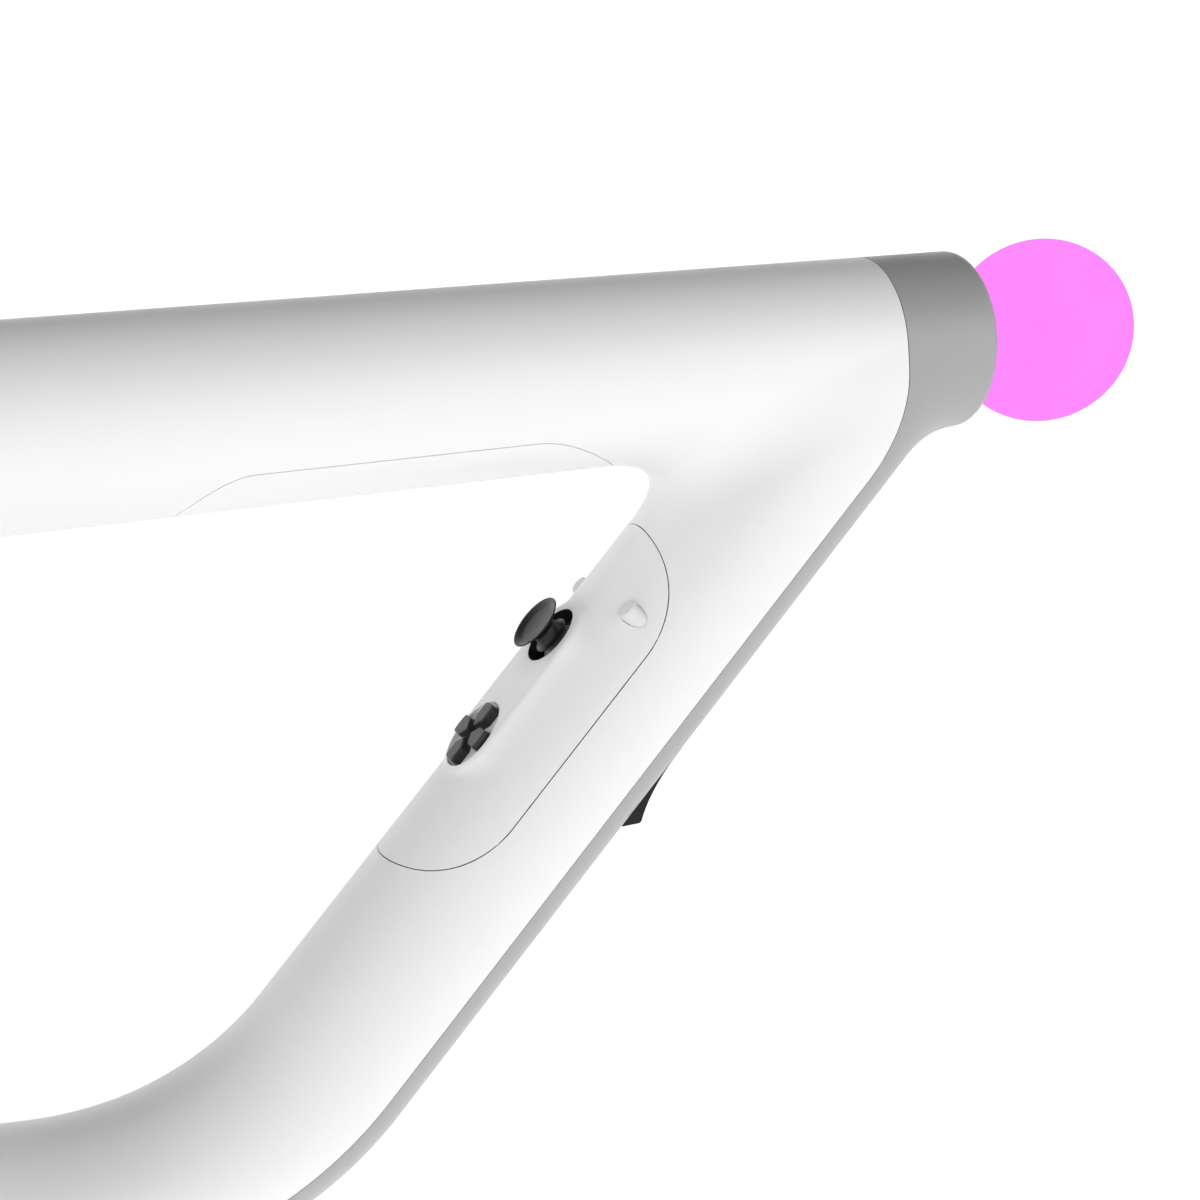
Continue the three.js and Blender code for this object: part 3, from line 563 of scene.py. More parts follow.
def ring_triangles(ring, first, inner):
    """Triangles between one ring of a disc and the ring inside it, which starts at inner."""
    if ring == 1:
        return [(0, first + i, first + (i + 1) % 6) for i in range(6)]
    count, inner_count = 6 * ring, 6 * (ring - 1)
    triangles = []
    i = j = 0
    while i < count or j < inner_count:
        outer_here, inner_here = first + i % count, inner + j % inner_count
        if j == inner_count or (i < count and (i + 1) * inner_count <= (j + 1) * count):
            triangles.append((inner_here, outer_here, first + (i + 1) % count))
            i += 1
        else:
            triangles.append((inner_here, outer_here, inner + (j + 1) % inner_count))
            j += 1
    return triangles


def relaxed(points, quads):
    """Points moved half way to the middle of their neighbours."""
    a, b = quads.ravel(), np.roll(quads, -1, axis=1).ravel()
    both, other = np.concatenate([a, b]), np.concatenate([b, a])
    number = np.maximum(np.bincount(both, minlength=len(points)), 1)
    middle = np.stack([np.bincount(both, points[other, i], len(points)) for i in range(3)], 1)
    settled = number < 4
    moved = 0.5 * points + 0.5 * middle / number[:, None]
    moved[settled] = points[settled]
    return moved


def edge_size(points, triangles):
    """Mean length of the edges at each point."""
    a, b = triangles.ravel(), np.roll(triangles, -1, axis=1).ravel()
    length = np.linalg.norm(points[a] - points[b], axis=1)
    number = np.maximum(np.bincount(a, minlength=len(points)), 1)
    return np.bincount(a, length, len(points)) / number


def surface_distance(zone, surface, points):
    """First-order distance over a surface to a zone's edge, and the direction in which it grows."""
    slope = gradient(zone, points)
    normal = unit(gradient(surface, points))
    slope = slope - (slope * normal).sum(1)[:, None] * normal
    size = np.maximum(np.linalg.norm(slope, axis=1), 0.15)
    return zone(points) / size, slope / size[:, None]


def settle_on_line(surface, zone, level, points):
    for _ in range(4):
        distance, way = surface_distance(zone, surface, points)
        points = settle(surface, points - (distance - level)[:, None] * way, 1)
    return points


def split(skin, value, zone, margin):
    """Cuts a skin's triangles where value changes sign, and keeps the negative side."""
    triangles = skin.triangles
    sign = np.sign(value).astype(int)
    high = sign[triangles].max(1)
    low = sign[triangles].min(1)
    whole = triangles[(high <= 0) & (low < 0)]
    crossing = triangles[(high > 0) & (low < 0)]
    edges = np.concatenate([crossing[:, [0, 1]], crossing[:, [1, 2]], crossing[:, [2, 0]]])
    edges = np.sort(edges[sign[edges[:, 0]] * sign[edges[:, 1]] < 0], axis=1)
    edges = np.unique(edges, axis=0)
    a, b = edges.T
    share = value[a] / (value[a] - value[b])
    added = skin.points[a] + share[:, None] * (skin.points[b] - skin.points[a])
    if len(added):
        added = settle_on_line(skin.field, zone, -margin, added)
    first_added = len(skin.points)
    lookup = {(p, q): first_added + i for i, (p, q) in enumerate(edges.tolist())}
    kept = []
    for triangle in crossing.tolist():
        kept += clipped_triangle(triangle, sign, lookup)
    points = np.concatenate([skin.points, added])
    triangles = np.concatenate([whole, np.array(kept, int).reshape(-1, 3)])
    used, compact = np.unique(triangles, return_inverse=True)
    return Skin(skin.field, points[used], compact.reshape(-1, 3))


def clipped_triangle(triangle, sign, lookup):
    """The triangles of one crossing triangle's negative side."""
    polygon = []
    for here, after in zip(triangle, triangle[1:] + triangle[:1]):
        if sign[here] <= 0:
            polygon.append(here)
        if sign[here] * sign[after] < 0:
            polygon.append(lookup[min(here, after), max(here, after)])
    return [(polygon[0], polygon[i], polygon[i + 1]) for i in range(1, len(polygon) - 1)]


def rimmed(skin, lip, depth, flat_side=None):
    """Points, normals and faces of a skin with its cut edges rounded and turned inwards.

    Edges on flat_side, a function that is 0 along them, meet another cover and get no rim.
    """
    points, triangles = skin.points, skin.triangles
    normals = unit(gradient(skin.field, points))
    a, b = triangles.ravel(), np.roll(triangles, -1, axis=1).ravel()
    key = np.minimum(a, b) * len(points) + np.maximum(a, b)
    _, first, count = np.unique(key, return_index=True, return_counts=True)
    border = first[count == 1]
    a, b = a[border], b[border]
    if flat_side is not None:
        free = np.abs(flat_side((points[a] + points[b]) / 2)) > 1e-3
        a, b = a[free], b[free]
    edge_out = unit(np.cross(unit(points[b] - points[a]), (normals[a] + normals[b]) / 2))
    rim, place = np.unique(np.concatenate([a, b]), return_inverse=True)
    doubled = np.concatenate([edge_out, edge_out])
    out = unit(np.stack([np.bincount(place, doubled[:, i], len(rim)) for i in range(3)], 1))
    start, normal = points[rim], normals[rim]
    rows, row_normals = [], []
    for angle in np.radians([30, 60, 90]):
        rows.append(start + lip * (math.sin(angle) * out - (1 - math.cos(angle)) * normal))
        row_normals.append(math.cos(angle) * normal + math.sin(angle) * out)
    rows.append(start + lip * out - depth * normal)
    row_normals.append(out)
    base = len(points)
    index_a, index_b = place[: len(a)], place[len(a):]
    faces, above_a, above_b = triangles.tolist(), a, b
    for row in range(len(rows)):
        below_a, below_b = (base + row * len(rim) + i for i in (index_a, index_b))
        faces += np.stack([above_a, below_a, below_b, above_b], 1).tolist()
        above_a, above_b = below_a, below_b
    return np.concatenate([points, *rows]), np.concatenate([normals, *row_normals]), faces


# ---- pieces


def make_object(name, points, faces, material, normals=None):
    """A mesh object from design-frame millimetres."""
    mesh = bpy.data.meshes.new(name)
    mesh.from_pydata(((np.asarray(points) + ORIGIN) * MM).tolist(), [], faces)
    mesh.shade_smooth()
    if normals is None:
        mesh.set_sharp_from_angle(angle=math.radians(38))
    else:
        mesh.normals_split_custom_set_from_vertices(unit(normals).tolist())
    mesh.materials.append(material)
    made = bpy.data.objects.new(name, mesh)
    bpy.context.scene.collection.objects.link(made)
    return made


def stand_in(made, node):
    """made is shown in place of a CAD node, and moves with that node's body."""
    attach(made, frame["nodes"][node]["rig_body"])
    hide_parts(node)


def extra(made, body):
    """made has no CAD node of its own: it is fine detail on a body."""
    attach(made, body)


def skin_piece(node, skin, material, depth=1.6, flat_side=None):
    points, normals, faces = rimmed(skin, LIP, depth, flat_side)
    stand_in(make_object(f"{node}_skin", points, faces, material, normals), node)


def turned_object(name, corners, place, material, sides=64):
    """A solid of revolution about a frame's out axis, from (radius, height, rounding) corners."""
    return turned_profile(name, Path(corners).sample(math.radians(15)), place, material, sides)


def turned_piece(node, corners, place, material, sides=64):
    stand_in(turned_object(f"{node}_skin", corners, place, material, sides), node)


def turned_profile(name, profile, place, material, sides=96):
    """A solid of revolution about a frame's out axis, from ready (radius, height) points."""
    angles = 2 * math.pi * np.arange(sides) / sides
    points, rings = [], []
    for radius, height in profile:
        if radius < 1e-6:
            rings.append([len(points)] * sides)
            points.append((0, 0, height))
            continue
        rings.append(range(len(points), len(points) + sides))
        points += [(radius * math.cos(t), radius * math.sin(t), height) for t in angles]
    faces = []
    for lower, upper in zip(rings, rings[1:]):
        for i in range(sides):
            j = (i + 1) % sides
            ring = [lower[i], lower[j], upper[j], upper[i]]
            face = [v for k, v in enumerate(ring) if v != ring[k - 1]]
            if len(face) > 2:
                faces.append(face)
    return make_object(name, place.world(points), faces, material)


def slab_object(name, outline, low, high, place, material, bevel, segments=3):
    """An outline in a frame's along-across plane between two heights, with rounded edges."""
    count = len(outline)
    points = [(x, y, height) for height in (low, high) for x, y in outline]
    faces = [list(range(count))[::-1], list(range(count, 2 * count))]
    faces += [[i, (i + 1) % count, count + (i + 1) % count, count + i] for i in range(count)]
    made = make_object(name, place.world(points), faces, material)
    rounding = made.modifiers.new("rounded edges", "BEVEL")
    rounding.width = bevel * MM
    rounding.segments = segments
    rounding.limit_method = "ANGLE"
    rounding.angle_limit = math.radians(30)
    rounding.harden_normals = True
    return made


# ---- materials


class Nodes:
    """Short calls for building one material's node tree."""

    def __init__(self, name):
        self.material = bpy.data.materials.new(name)
        self.material.use_nodes = True
        self.tree = self.material.node_tree
        self.shader = self.tree.nodes["Principled BSDF"]
        self.place = self.add("ShaderNodeTexCoord").outputs["Object"]

    def add(self, kind, **settings):
        node = self.tree.nodes.new(kind)
        for key, value in settings.items():
            setattr(node, key, value)
        return node

    def link(self, source, target):
        self.tree.links.new(source, target)

    def noise(self, scale, detail=3.0, roughness=0.55):
        node = self.add("ShaderNodeTexNoise")
        self.link(self.place, node.inputs["Vector"])
        node.inputs["Scale"].default_value = scale
        node.inputs["Detail"].default_value = detail
        node.inputs["Roughness"].default_value = roughness
        return node.outputs["Fac"]

    def ramp(self, source, low, high, start=0.0, end=1.0):
        """A grey or coloured blend from low to high as source goes from start to end."""
        node = self.add("ShaderNodeValToRGB")
        self.link(source, node.inputs["Fac"])
        for stop, position, colour in zip(node.color_ramp.elements, (start, end), (low, high)):
            stop.position = position
            stop.color = (*colour, 1) if hasattr(colour, "__len__") else (colour,) * 3 + (1,)
        return node.outputs["Color"]

    def bump(self, source, distance, strength=1.0):
        node = self.add("ShaderNodeBump")
        node.inputs["Distance"].default_value = distance * MM
        node.inputs["Strength"].default_value = strength
        self.link(source, node.inputs["Height"])
        previous = self.shader.inputs["Normal"].links
        if previous:
            self.link(previous[0].from_socket, node.inputs["Normal"])
        self.link(node.outputs["Normal"], self.shader.inputs["Normal"])

    def set(self, **values):
        for name, value in values.items():
            self.shader.inputs[name.replace("_", " ")].default_value = value
        return self


def varied(colour, amount):
    """A colour, or a grey given as one number, made lighter or darker by a share."""
    return np.array(colour) * (1 + amount)


def plastic(name, colour, roughness, mottle=0.02, grain=2600, grain_depth=0.004, speck=0.0, level=0.5):
    """Moulded plastic: slow colour drift, polished and duller patches, fine spark-eroded grain."""
    nodes = Nodes(name).set(IOR=1.47, Specular_IOR_Level=level)
    drift = nodes.noise(28, 4)
    nodes.link(nodes.ramp(drift, varied(colour, -mottle), varied(colour, mottle), 0.3, 0.7),
               nodes.shader.inputs["Base Color"])
    handled = nodes.noise(55, 5, 0.62)
    nodes.link(nodes.ramp(handled, roughness - 0.05, roughness + 0.05, 0.3, 0.7),
               nodes.shader.inputs["Roughness"])
    nodes.bump(nodes.noise(grain, 2), grain_depth)
    if speck:
        nodes.bump(nodes.noise(420, 3), speck)
    return nodes.material


def metal(name, colour, roughness):
    """Turned steel with fine scratches."""
    nodes = Nodes(name).set(Metallic=1.0)
    nodes.link(nodes.ramp(nodes.noise(90), varied(colour, -0.1), varied(colour, 0.1), 0.3, 0.7),
               nodes.shader.inputs["Base Color"])
    nodes.link(nodes.ramp(nodes.noise(700, 4), roughness - 0.1, roughness + 0.12, 0.3, 0.7),
               nodes.shader.inputs["Roughness"])
    nodes.bump(nodes.noise(3000, 2), 0.003)
    return nodes.material


def glowing(name, colour, strength):
    """Silicone lit from inside: nearly even, with a faint cloudiness."""
    nodes = Nodes(name).set(Roughness=0.6, Specular_IOR_Level=0.0, Emission_Strength=strength)
    cloud = nodes.noise(60, 2)
    shade = nodes.ramp(cloud, varied(colour, -0.012), colour, 0.35, 0.65)
    nodes.link(shade, nodes.shader.inputs["Emission Color"])
    nodes.link(nodes.ramp(cloud, 0.0, 0.02, 0.3, 0.7), nodes.shader.inputs["Base Color"])
    nodes.bump(nodes.noise(1800, 2), 0.004)
    return nodes.material


WHITE = plastic("satin white plastic", 0.86, 0.36, mottle=0.008)
# The side buttons are the shells' white plastic made darker. This is painted shade, so the far button stands
# out against the white.
SHADE_DARKENED_WHITE = plastic("white plastic darkened as painted shade", 0.74, 0.25, mottle=0.008)
GREY = plastic("satin grey plastic", 0.37, 0.34, mottle=0.025)
FLOOR_GREY = plastic("light grey key bed", 0.74, 0.5, mottle=0.02)
RUBBER = plastic("stick rubber", 0.01, 0.32, mottle=0.2, grain=1800, grain_depth=0.008, level=0.4)
# Mid grey on the stick's dome skirt is a painted highlight: it stands in for light reflected off a black
# dome.
DOME_HIGHLIGHT_GREY = plastic("stick skirt grey for painted highlight", 0.32, 0.25, mottle=0.1)
KEYS = plastic("black key plastic", 0.022, 0.34, mottle=0.15, grain_depth=0.003)
TRIGGER = plastic("trigger plastic", 0.03, 0.5, mottle=0.15, level=0.0)
DARK = plastic("dark inner plastic", (0.04, 0.04, 0.042), 0.55, mottle=0.15, speck=0.01)
PAD_RUBBER = plastic("butt pad rubber", (0.02, 0.02, 0.021), 0.6, mottle=0.2, grain=1500, grain_depth=0.02)
CLEAR = plastic("clear light guide", (0.8, 0.8, 0.82), 0.2, mottle=0.02)
BOARD = plastic("green circuit board", (0.015, 0.13, 0.045), 0.45, mottle=0.3, speck=0.02)
BATTERY = plastic("blue battery wrap", (0.03, 0.09, 0.28), 0.35, mottle=0.1)
STEEL = metal("brushed steel", (0.56, 0.56, 0.57), 0.35)
GLOW = glowing("glowing pink silicone", (1.0, 0.254, 1.0), 1.0)

# ---- seams


def strip_path():
    """The seam between the white shells and the grey strip, from the muzzle ring's top."""
    seam_bottom = BOTTOM_Z - STRIP_SEAM_OFFSET
    def seam_x(z):
        return grip_x(FRONT_GRIP_X, FRONT_SLOPE, z) + STRIP_SEAM_OFFSET / math.sin(FRONT_SLOPE)
    knee_z = (RING_REAR_X - seam_x(0)) * math.tan(FRONT_SLOPE)
    return Path([
        (RING_REAR_X, 60),
        (RING_REAR_X, knee_z, 33),
        (seam_x(seam_bottom), seam_bottom, 85),
        (STRIP_REAR_X, seam_bottom, 8),
        (STRIP_REAR_X, -260),
    ])


# The strip lies on the path's left.
strip_zone_path = strip_path()


def strip_zone(points):
    return -strip_zone_path.side(points[:, [0, 2]])


def pod_zone(deck):
    """Negative in a pod: the path runs along the pod's lower edge with the pod on its left."""
    slope = math.tan(math.radians(38))
    height, ceiling, corner_radius = 14, 6, 27
    reach = POD_HALF_LENGTH + (height + POD_SEAM_DEPTH) * slope
    middle = deck.shifted(POD_MIDDLE)
    path = Path([
        (-reach, height),
        (-POD_HALF_LENGTH, -POD_SEAM_DEPTH, corner_radius),
        (POD_HALF_LENGTH, -POD_SEAM_DEPTH, corner_radius),
        (reach, height),
    ])
    def zone(points):
        local = middle.local(points)[:, [0, 2]]
        return np.maximum(-path.side(local), local[:, 1] - ceiling)
    return zone


PANEL_FRONT_X, PANEL_REAR_X = -139, -198
PANEL_FRONT_END, PANEL_REAR_END = 22, 17
PANEL_HALF_WIDTH = 17.1


def panel_zone(points):
    """Negative in the cover under the top tube: straight sides and two elliptical ends."""
    x, y, z = points.T
    beyond = np.maximum((x - PANEL_FRONT_X) / PANEL_FRONT_END, 0)
    beyond = beyond + np.maximum((PANEL_REAR_X - x) / PANEL_REAR_END, 0)
    outline = (np.hypot(beyond, y / PANEL_HALF_WIDTH) - 1) * PANEL_HALF_WIDTH
    return between(outline, z, -2 * TUBE_RADIUS, -5)


def round_zone(place, radius, low=-20.0, high=10.0):
    """Negative in a cylinder about a frame's out axis."""
    def zone(points):
        local = place.local(points)
        return between(np.hypot(local[:, 0], local[:, 1]) - radius, local[:, 2], low, high)
    return zone


def box_zone(place, low, high, rounding, bottom, top):
    """Negative in a rounded rectangle seen along a frame's out axis, between two heights."""
    middle, half = (np.array(high) + low) / 2, (np.array(high) - low) / 2 - rounding
    def zone(points):
        local = place.local(points)
        over = np.abs(local[:, :2] - middle) - half
        distance = np.linalg.norm(np.maximum(over, 0), axis=1) + np.minimum(over.max(1), 0) - rounding
        return between(distance, local[:, 2], bottom, top)
    return zone


def left_side(points):
    return -points[:, 1]


def right_side(points):
    return points[:, 1]


def behind(x):
    return lambda points: points[:, 0] - x


# ---- covers

GROWTH = 3.0
body_low = (BUTT_X - GROWTH, -TUBE_RADIUS - GROWTH, BOTTOM_Z - TUBE_RADIUS - GROWTH)
body_high = (MUZZLE_X + GROWTH, TUBE_RADIUS + GROWTH, TUBE_RADIUS + GROWTH)

FRONT_POD = pod_zone(FRONT_DECK)
REAR_POD = pod_zone(REAR_DECK)
MUZZLE_PLACE = Place((0, 0), (0, 1), (1, 0))

FRONT_TRIGGER = {"pivot": (137.0, -13.0), "tip": (157.1, -24.7), "half_width": 6.0}
MAIN_TRIGGER = {"pivot": (44.0, -12.0), "tip": (68.0, -28.0), "half_width": 7.0}
FRONT_TRIGGER_PLACE = FRONT_PLACE.shifted(-FRONT_FOOT)
SCREW_PLACES = ((-72, -6), (-246, 0), (-262, BOTTOM_Z), (-321, -117))
SCREW_SINK = 2.5
USB_X = (cad_box("usb_port")[0][0] + cad_box("usb_port")[1][0]) / 2


def trigger_slot(trigger, place):
    """Room for the lever's whole swing: it turns about its pivot."""
    half = trigger["half_width"] + 0.5
    start = trigger["pivot"][0] - 3.8
    end = trigger["pivot"][0] + math.dist(trigger["pivot"], trigger["tip"]) + 1.6
    return box_zone(place, (start, -half), (end, half), 1.2, -TUBE_RADIUS - 5, -8)


def usb_zone():
    place = Place((USB_X, BOTTOM_Z), (1, 0), (0, 1))
    return box_zone(place, (-4.7, -1.9), (4.7, 1.9), 1.7, -TUBE_RADIUS - 5, -8)


def shells():
    whole = Skin.of(body_field, body_low, body_high, 2.0)
    for neighbour in (strip_zone, FRONT_POD, REAR_POD, panel_zone, behind(PAD_SEAM_X)):
        whole = whole.without(neighbour, SEAM)
    whole = whole.without(trigger_slot(MAIN_TRIGGER, REAR_PLACE))
    left, right = whole.clipped(left_side), whole.clipped(right_side)
    for x, z in SCREW_PLACES:
        left = left.without(screw_zone(x, z))
    skin_piece("left_shell", left, WHITE, flat_side=right_side)
    skin_piece("right_shell", right, WHITE, flat_side=right_side)


def screw_zone(x, z):
    def zone(points):
        around = np.hypot(points[:, 0] - x, points[:, 2] - z) - SCREW_SINK
        return np.maximum(around, -points[:, 1])
    return zone


def spine():
    muzzle_hole = round_zone(MUZZLE_PLACE, TUBE_RADIUS - 2.2, MUZZLE_X - 4, 0)
    skin = Skin.of(body_field, body_low, body_high, 1.1, zone=strip_zone)
    skin = skin.clipped(strip_zone, SEAM).without(muzzle_hole)
    skin = skin.without(trigger_slot(FRONT_TRIGGER, FRONT_TRIGGER_PLACE)).without(usb_zone())
    skin_piece("front_spine", skin, GREY)


def panel():
    low = (PANEL_REAR_X - 24, -TUBE_RADIUS - GROWTH, -TUBE_RADIUS - GROWTH)
    high = (PANEL_FRONT_X + 30, TUBE_RADIUS + GROWTH, -4)
    skin = Skin.of(body_field, low, high, 1.4, zone=panel_zone).clipped(panel_zone, SEAM)
    skin_piece("underside_panel", skin, WHITE)


def butt_pad():
    def ribbed(points):
        """Shallow grooves across the rear face."""
        depth = fade(points[:, 0], BUTT_X + 3.0, BUTT_X + 0.5) * fade(np.abs(points[:, 1]), 15, 11)
        wave = np.maximum(np.cos(points[:, 2] * 2 * math.pi / 4.2), 0)
        return body_field(points) + 0.55 * depth * wave
    low = (BUTT_X - GROWTH, -TUBE_RADIUS - GROWTH, -TUBE_RADIUS - 14)
    high = (PAD_SEAM_X + GROWTH, TUBE_RADIUS + GROWTH, TUBE_RADIUS)
    skin = Skin.of(ribbed, low, high, 0.9).clipped(behind(PAD_SEAM_X), SEAM)
    skin_piece("butt_pad", skin, PAD_RUBBER)


def pod(node, deck, zone, *button_holes):
    """Cover with a deck: a hole is (along, across, radius), and every pod has its stick's and cluster's."""
    low = (-POD_HALF_LENGTH - 20, -TUBE_RADIUS - 2, -POD_SEAM_DEPTH - 3)
    high = (POD_HALF_LENGTH + 20, TUBE_RADIUS + 2, 2)
    skin = Skin.of(body_field, low, high, 0.6, place=deck, zone=zone).clipped(zone, SEAM)
    stick_hole, cluster_hole = (STICK_AT, 0, STICK_HOLE_RADIUS + 0.12), (CLUSTER_AT, 0, RECESS_RADIUS)
    for along, across, radius in (stick_hole, cluster_hole, *button_holes):
        skin = skin.without(round_zone(deck.shifted(along, across), radius))
    skin_piece(node, skin, WHITE, depth=1.9)


# ---- thumbsticks

STICK_HOLE_RADIUS = 7.25
STICK_PIVOT_DEPTH = 8
SKIRT_RADIUS = 7.1
RECESS_RADIUS, RECESS_DEPTH = 8.8, 1.2


def thumbstick(prefix, deck):
    """Heights are from the deck."""
    place = deck.shifted(STICK_AT)
    cap = [
        (0, 2.2), (3.0, 2.2, 0.01), (3.2, 2.9, 0.8), (5.9, 4.1, 0.6), (6.9, 4.75, 0.2), (6.85, 5.05, 0.15),
        (6.2, 4.95, 0.4), (4.6, 4.3, 2.5), (0, 4.0),
    ]
    turned_piece(f"{prefix}_stick_cap", cap, place, RUBBER)
    stem = [(0, -0.6), (3.4, -0.6), (4.55, -0.5), (4.7, -0.35), *flare(4.65, 3.1, -0.2, 2.2), (0, 2.3)]
    made = turned_profile(f"{prefix}_stick_stem_skin", stem, place, RUBBER)
    stand_in(made, f"{prefix}_stick_stem")
    dome = sphere_cap(SKIRT_RADIUS, 1.4, 6.2) + sphere_cap(SKIRT_RADIUS - 0.8, 1.4, 5.5)[::-1]
    skirt = turned_profile(f"{prefix}_stick_skirt", dome + dome[:1], place, DOME_HIGHLIGHT_GREY)
    extra(skirt, frame["nodes"][f"{prefix}_stick_stem"]["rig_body"])
    inner, outer = STICK_HOLE_RADIUS - 0.1, STICK_HOLE_RADIUS + 0.06
    bezel = [(inner, -3.4), (inner, -0.1, 0.06), (inner + 0.08, 0.02, 0.03),
             (outer, -0.1, 0.03), (outer, -3.4)]
    turned_piece(f"{prefix}_stick_bezel", bezel, place, KEYS)


def flare(wide, narrow, low, high, steps=8):
    """Profile of a foot that leaves a neck straight down and curves out flat."""
    angles = np.linspace(math.pi / 2, 0, steps)
    return [(narrow + (wide - narrow) * (1 - math.cos(a)), high - (high - low) * math.sin(a)) for a in angles]


def sphere_cap(radius, inner, outer, steps=10):
    """Profile of a dome about the stick's pivot, between two radii from its axis."""
    start, end = (math.asin(reach / radius) for reach in (inner, outer))
    return sphere(radius, start, end, steps, -STICK_PIVOT_DEPTH)


def sphere(radius, start, end, steps, middle=0):
    """Profile of a sphere between two angles from the out axis, with its middle at a height."""
    return [(radius * math.sin(a), middle + radius * math.cos(a)) for a in np.linspace(start, end, steps)]


# ---- keys and buttons

KEY = {"half_width": 2.4, "outer": 7.9, "shoulder": 3.8, "tip": 1.4, "foot": -3.3, "top": 1.2, "bevel": 0.4}
KEY_CLEARANCE, LIGHT_CLEARANCE = 0.2, 0.15
KEY_ANGLES = {"up": math.pi, "left": math.pi / 2, "right": -math.pi / 2, "down": 0}
KEY_NAMES = {"up": "up", "left": "right", "right": "left", "down": "down"}
FACE_NAMES = {"up": "north", "left": "west", "right": "east", "down": "south"}


def key_outline(grow=0.0):
    """Key that lies along +X: it points at the cluster's middle, and its outer end follows the recess."""
    half, outer = KEY["half_width"] + grow, KEY["outer"] + grow
    shoulder = KEY["shoulder"] - grow / 2
    angles = np.linspace(-1, 1, 9) * math.asin(half / outer)
    end = [(outer * math.cos(a), outer * math.sin(a)) for a in angles]
    return [(KEY["tip"] - grow, 0), (shoulder, -half), *end, (shoulder, half)]


def polygon_zone(place, corners):
    """Negative in a convex polygon in a frame's along-across plane."""
    corners = np.array(corners)
    def zone(points):
        local = place.local(points)[:, :2]
        worst = np.full(len(points), -np.inf)
        for here, after in zip(corners, np.roll(corners, -1, axis=0)):
            way = unit(after - here)
            offset = local - here
            worst = np.maximum(worst, way[1] * offset[:, 0] - way[0] * offset[:, 1])
        return worst
    return zone


def key_bed(name, deck, zones):
    """Floor of a cluster's recess, with a hole for each key."""
    place = deck.shifted(CLUSTER_AT)
    skin = Skin.disc(place, RECESS_RADIUS - 0.02, -RECESS_DEPTH, 0.5)
    for zone in zones:
        skin = skin.without(zone)
    points, normals, faces = rimmed(skin, 0.05, 0.9)
    extra(make_object(name, points, faces, FLOOR_GREY, normals), "housing")


def dpad(deck):
    place = deck.shifted(CLUSTER_AT)
    for way, angle in KEY_ANGLES.items():
        node = f"dpad_key_{KEY_NAMES[way]}"
        turned = place.turned(angle)
        key = slab_object(f"{node}_skin", key_outline(), KEY["foot"], KEY["top"], turned, KEYS, KEY["bevel"])
        stand_in(key, node)
    outline = key_outline(KEY_CLEARANCE)
    key_bed("dpad_key_bed", deck, [polygon_zone(place.turned(a), outline) for a in KEY_ANGLES.values()])


FACE_RADIUS, FACE_RING = 2.9, 5.6


def button(node, spot, radius, heights, rounding, material):
    """Round button: heights are its foot's, its rim's and its middle's."""
    foot, rim, middle = heights
    shape = [(0, foot), (radius, foot, 0.01), (radius, rim, rounding), (0, middle)]
    turned_piece(node, shape, spot, material)


def face_buttons(deck):
    place = deck.shifted(CLUSTER_AT)
    zones = []
    for way, angle in KEY_ANGLES.items():
        spot = place.shifted(FACE_RING * math.cos(angle), FACE_RING * math.sin(angle))
        node = f"face_button_{FACE_NAMES[way]}"
        button(node, spot, FACE_RADIUS, (-3.3, 1.25, 1.35), 0.45, KEYS)
        zones.append(round_zone(spot, FACE_RADIUS + KEY_CLEARANCE))
    key_bed("face_button_bed", deck, zones)


def side_buttons(deck):
    for name, side in (("left", -1), ("right", 1)):
        spot = deck.shifted(SIDE_BUTTON_AT, side * SIDE_BUTTON_ACROSS)
        node = f"front_side_button_{name}"
        button(node, spot, SIDE_BUTTON_RADIUS, (-11, -4, -4), 0.35, SHADE_DARKENED_WHITE)


def home_and_light(deck):
    home, light = deck.shifted(HOME_AT), deck.shifted(LIGHT_AT)
    button("home_button", home, HOME_RADIUS, (-4, 0.6, 0.7), 0.4, KEYS)
    button("status_light", light, LIGHT_RADIUS, (-3, 0.1, 0.12), 0.25, CLEAR)


# ---- triggers


def trigger_lever(node, trigger, place):
    """Lever seen from the side: its face leaves the grip level and curves out to a hooked tip."""
    pivot, tip = np.array(trigger["pivot"]), np.array(trigger["tip"])
    level = -TUBE_RADIUS - 0.05
    start = np.array([pivot[0] + 0.5, level])
    middle = np.array([pivot[0] + 0.62 * (tip[0] - pivot[0]), level + 0.2])
    face = [(1 - t) ** 2 * start + 2 * t * (1 - t) * middle + t**2 * tip for t in np.linspace(0, 1, 14)]
    heel, hub = tip[0] + 3.6, 2.6
    behind_face = [(heel, level), (heel, level + 4), pivot + (8, 3), pivot + (-hub, 3)]
    behind_face.append((pivot[0] - hub, level + 1))
    outline = [tuple(point) for point in face + behind_face]
    side = Place((0, 0), (1, 0), (0, 1))
    side.origin = place.origin
    side.axes = np.stack([place.axes[0], place.axes[2], -place.axes[1]])
    half = trigger["half_width"]
    lever = slab_object(f"{node}_skin", outline, -half, half, side, TRIGGER, 0.7, 4)
    stand_in(lever, node)


# ---- muzzle


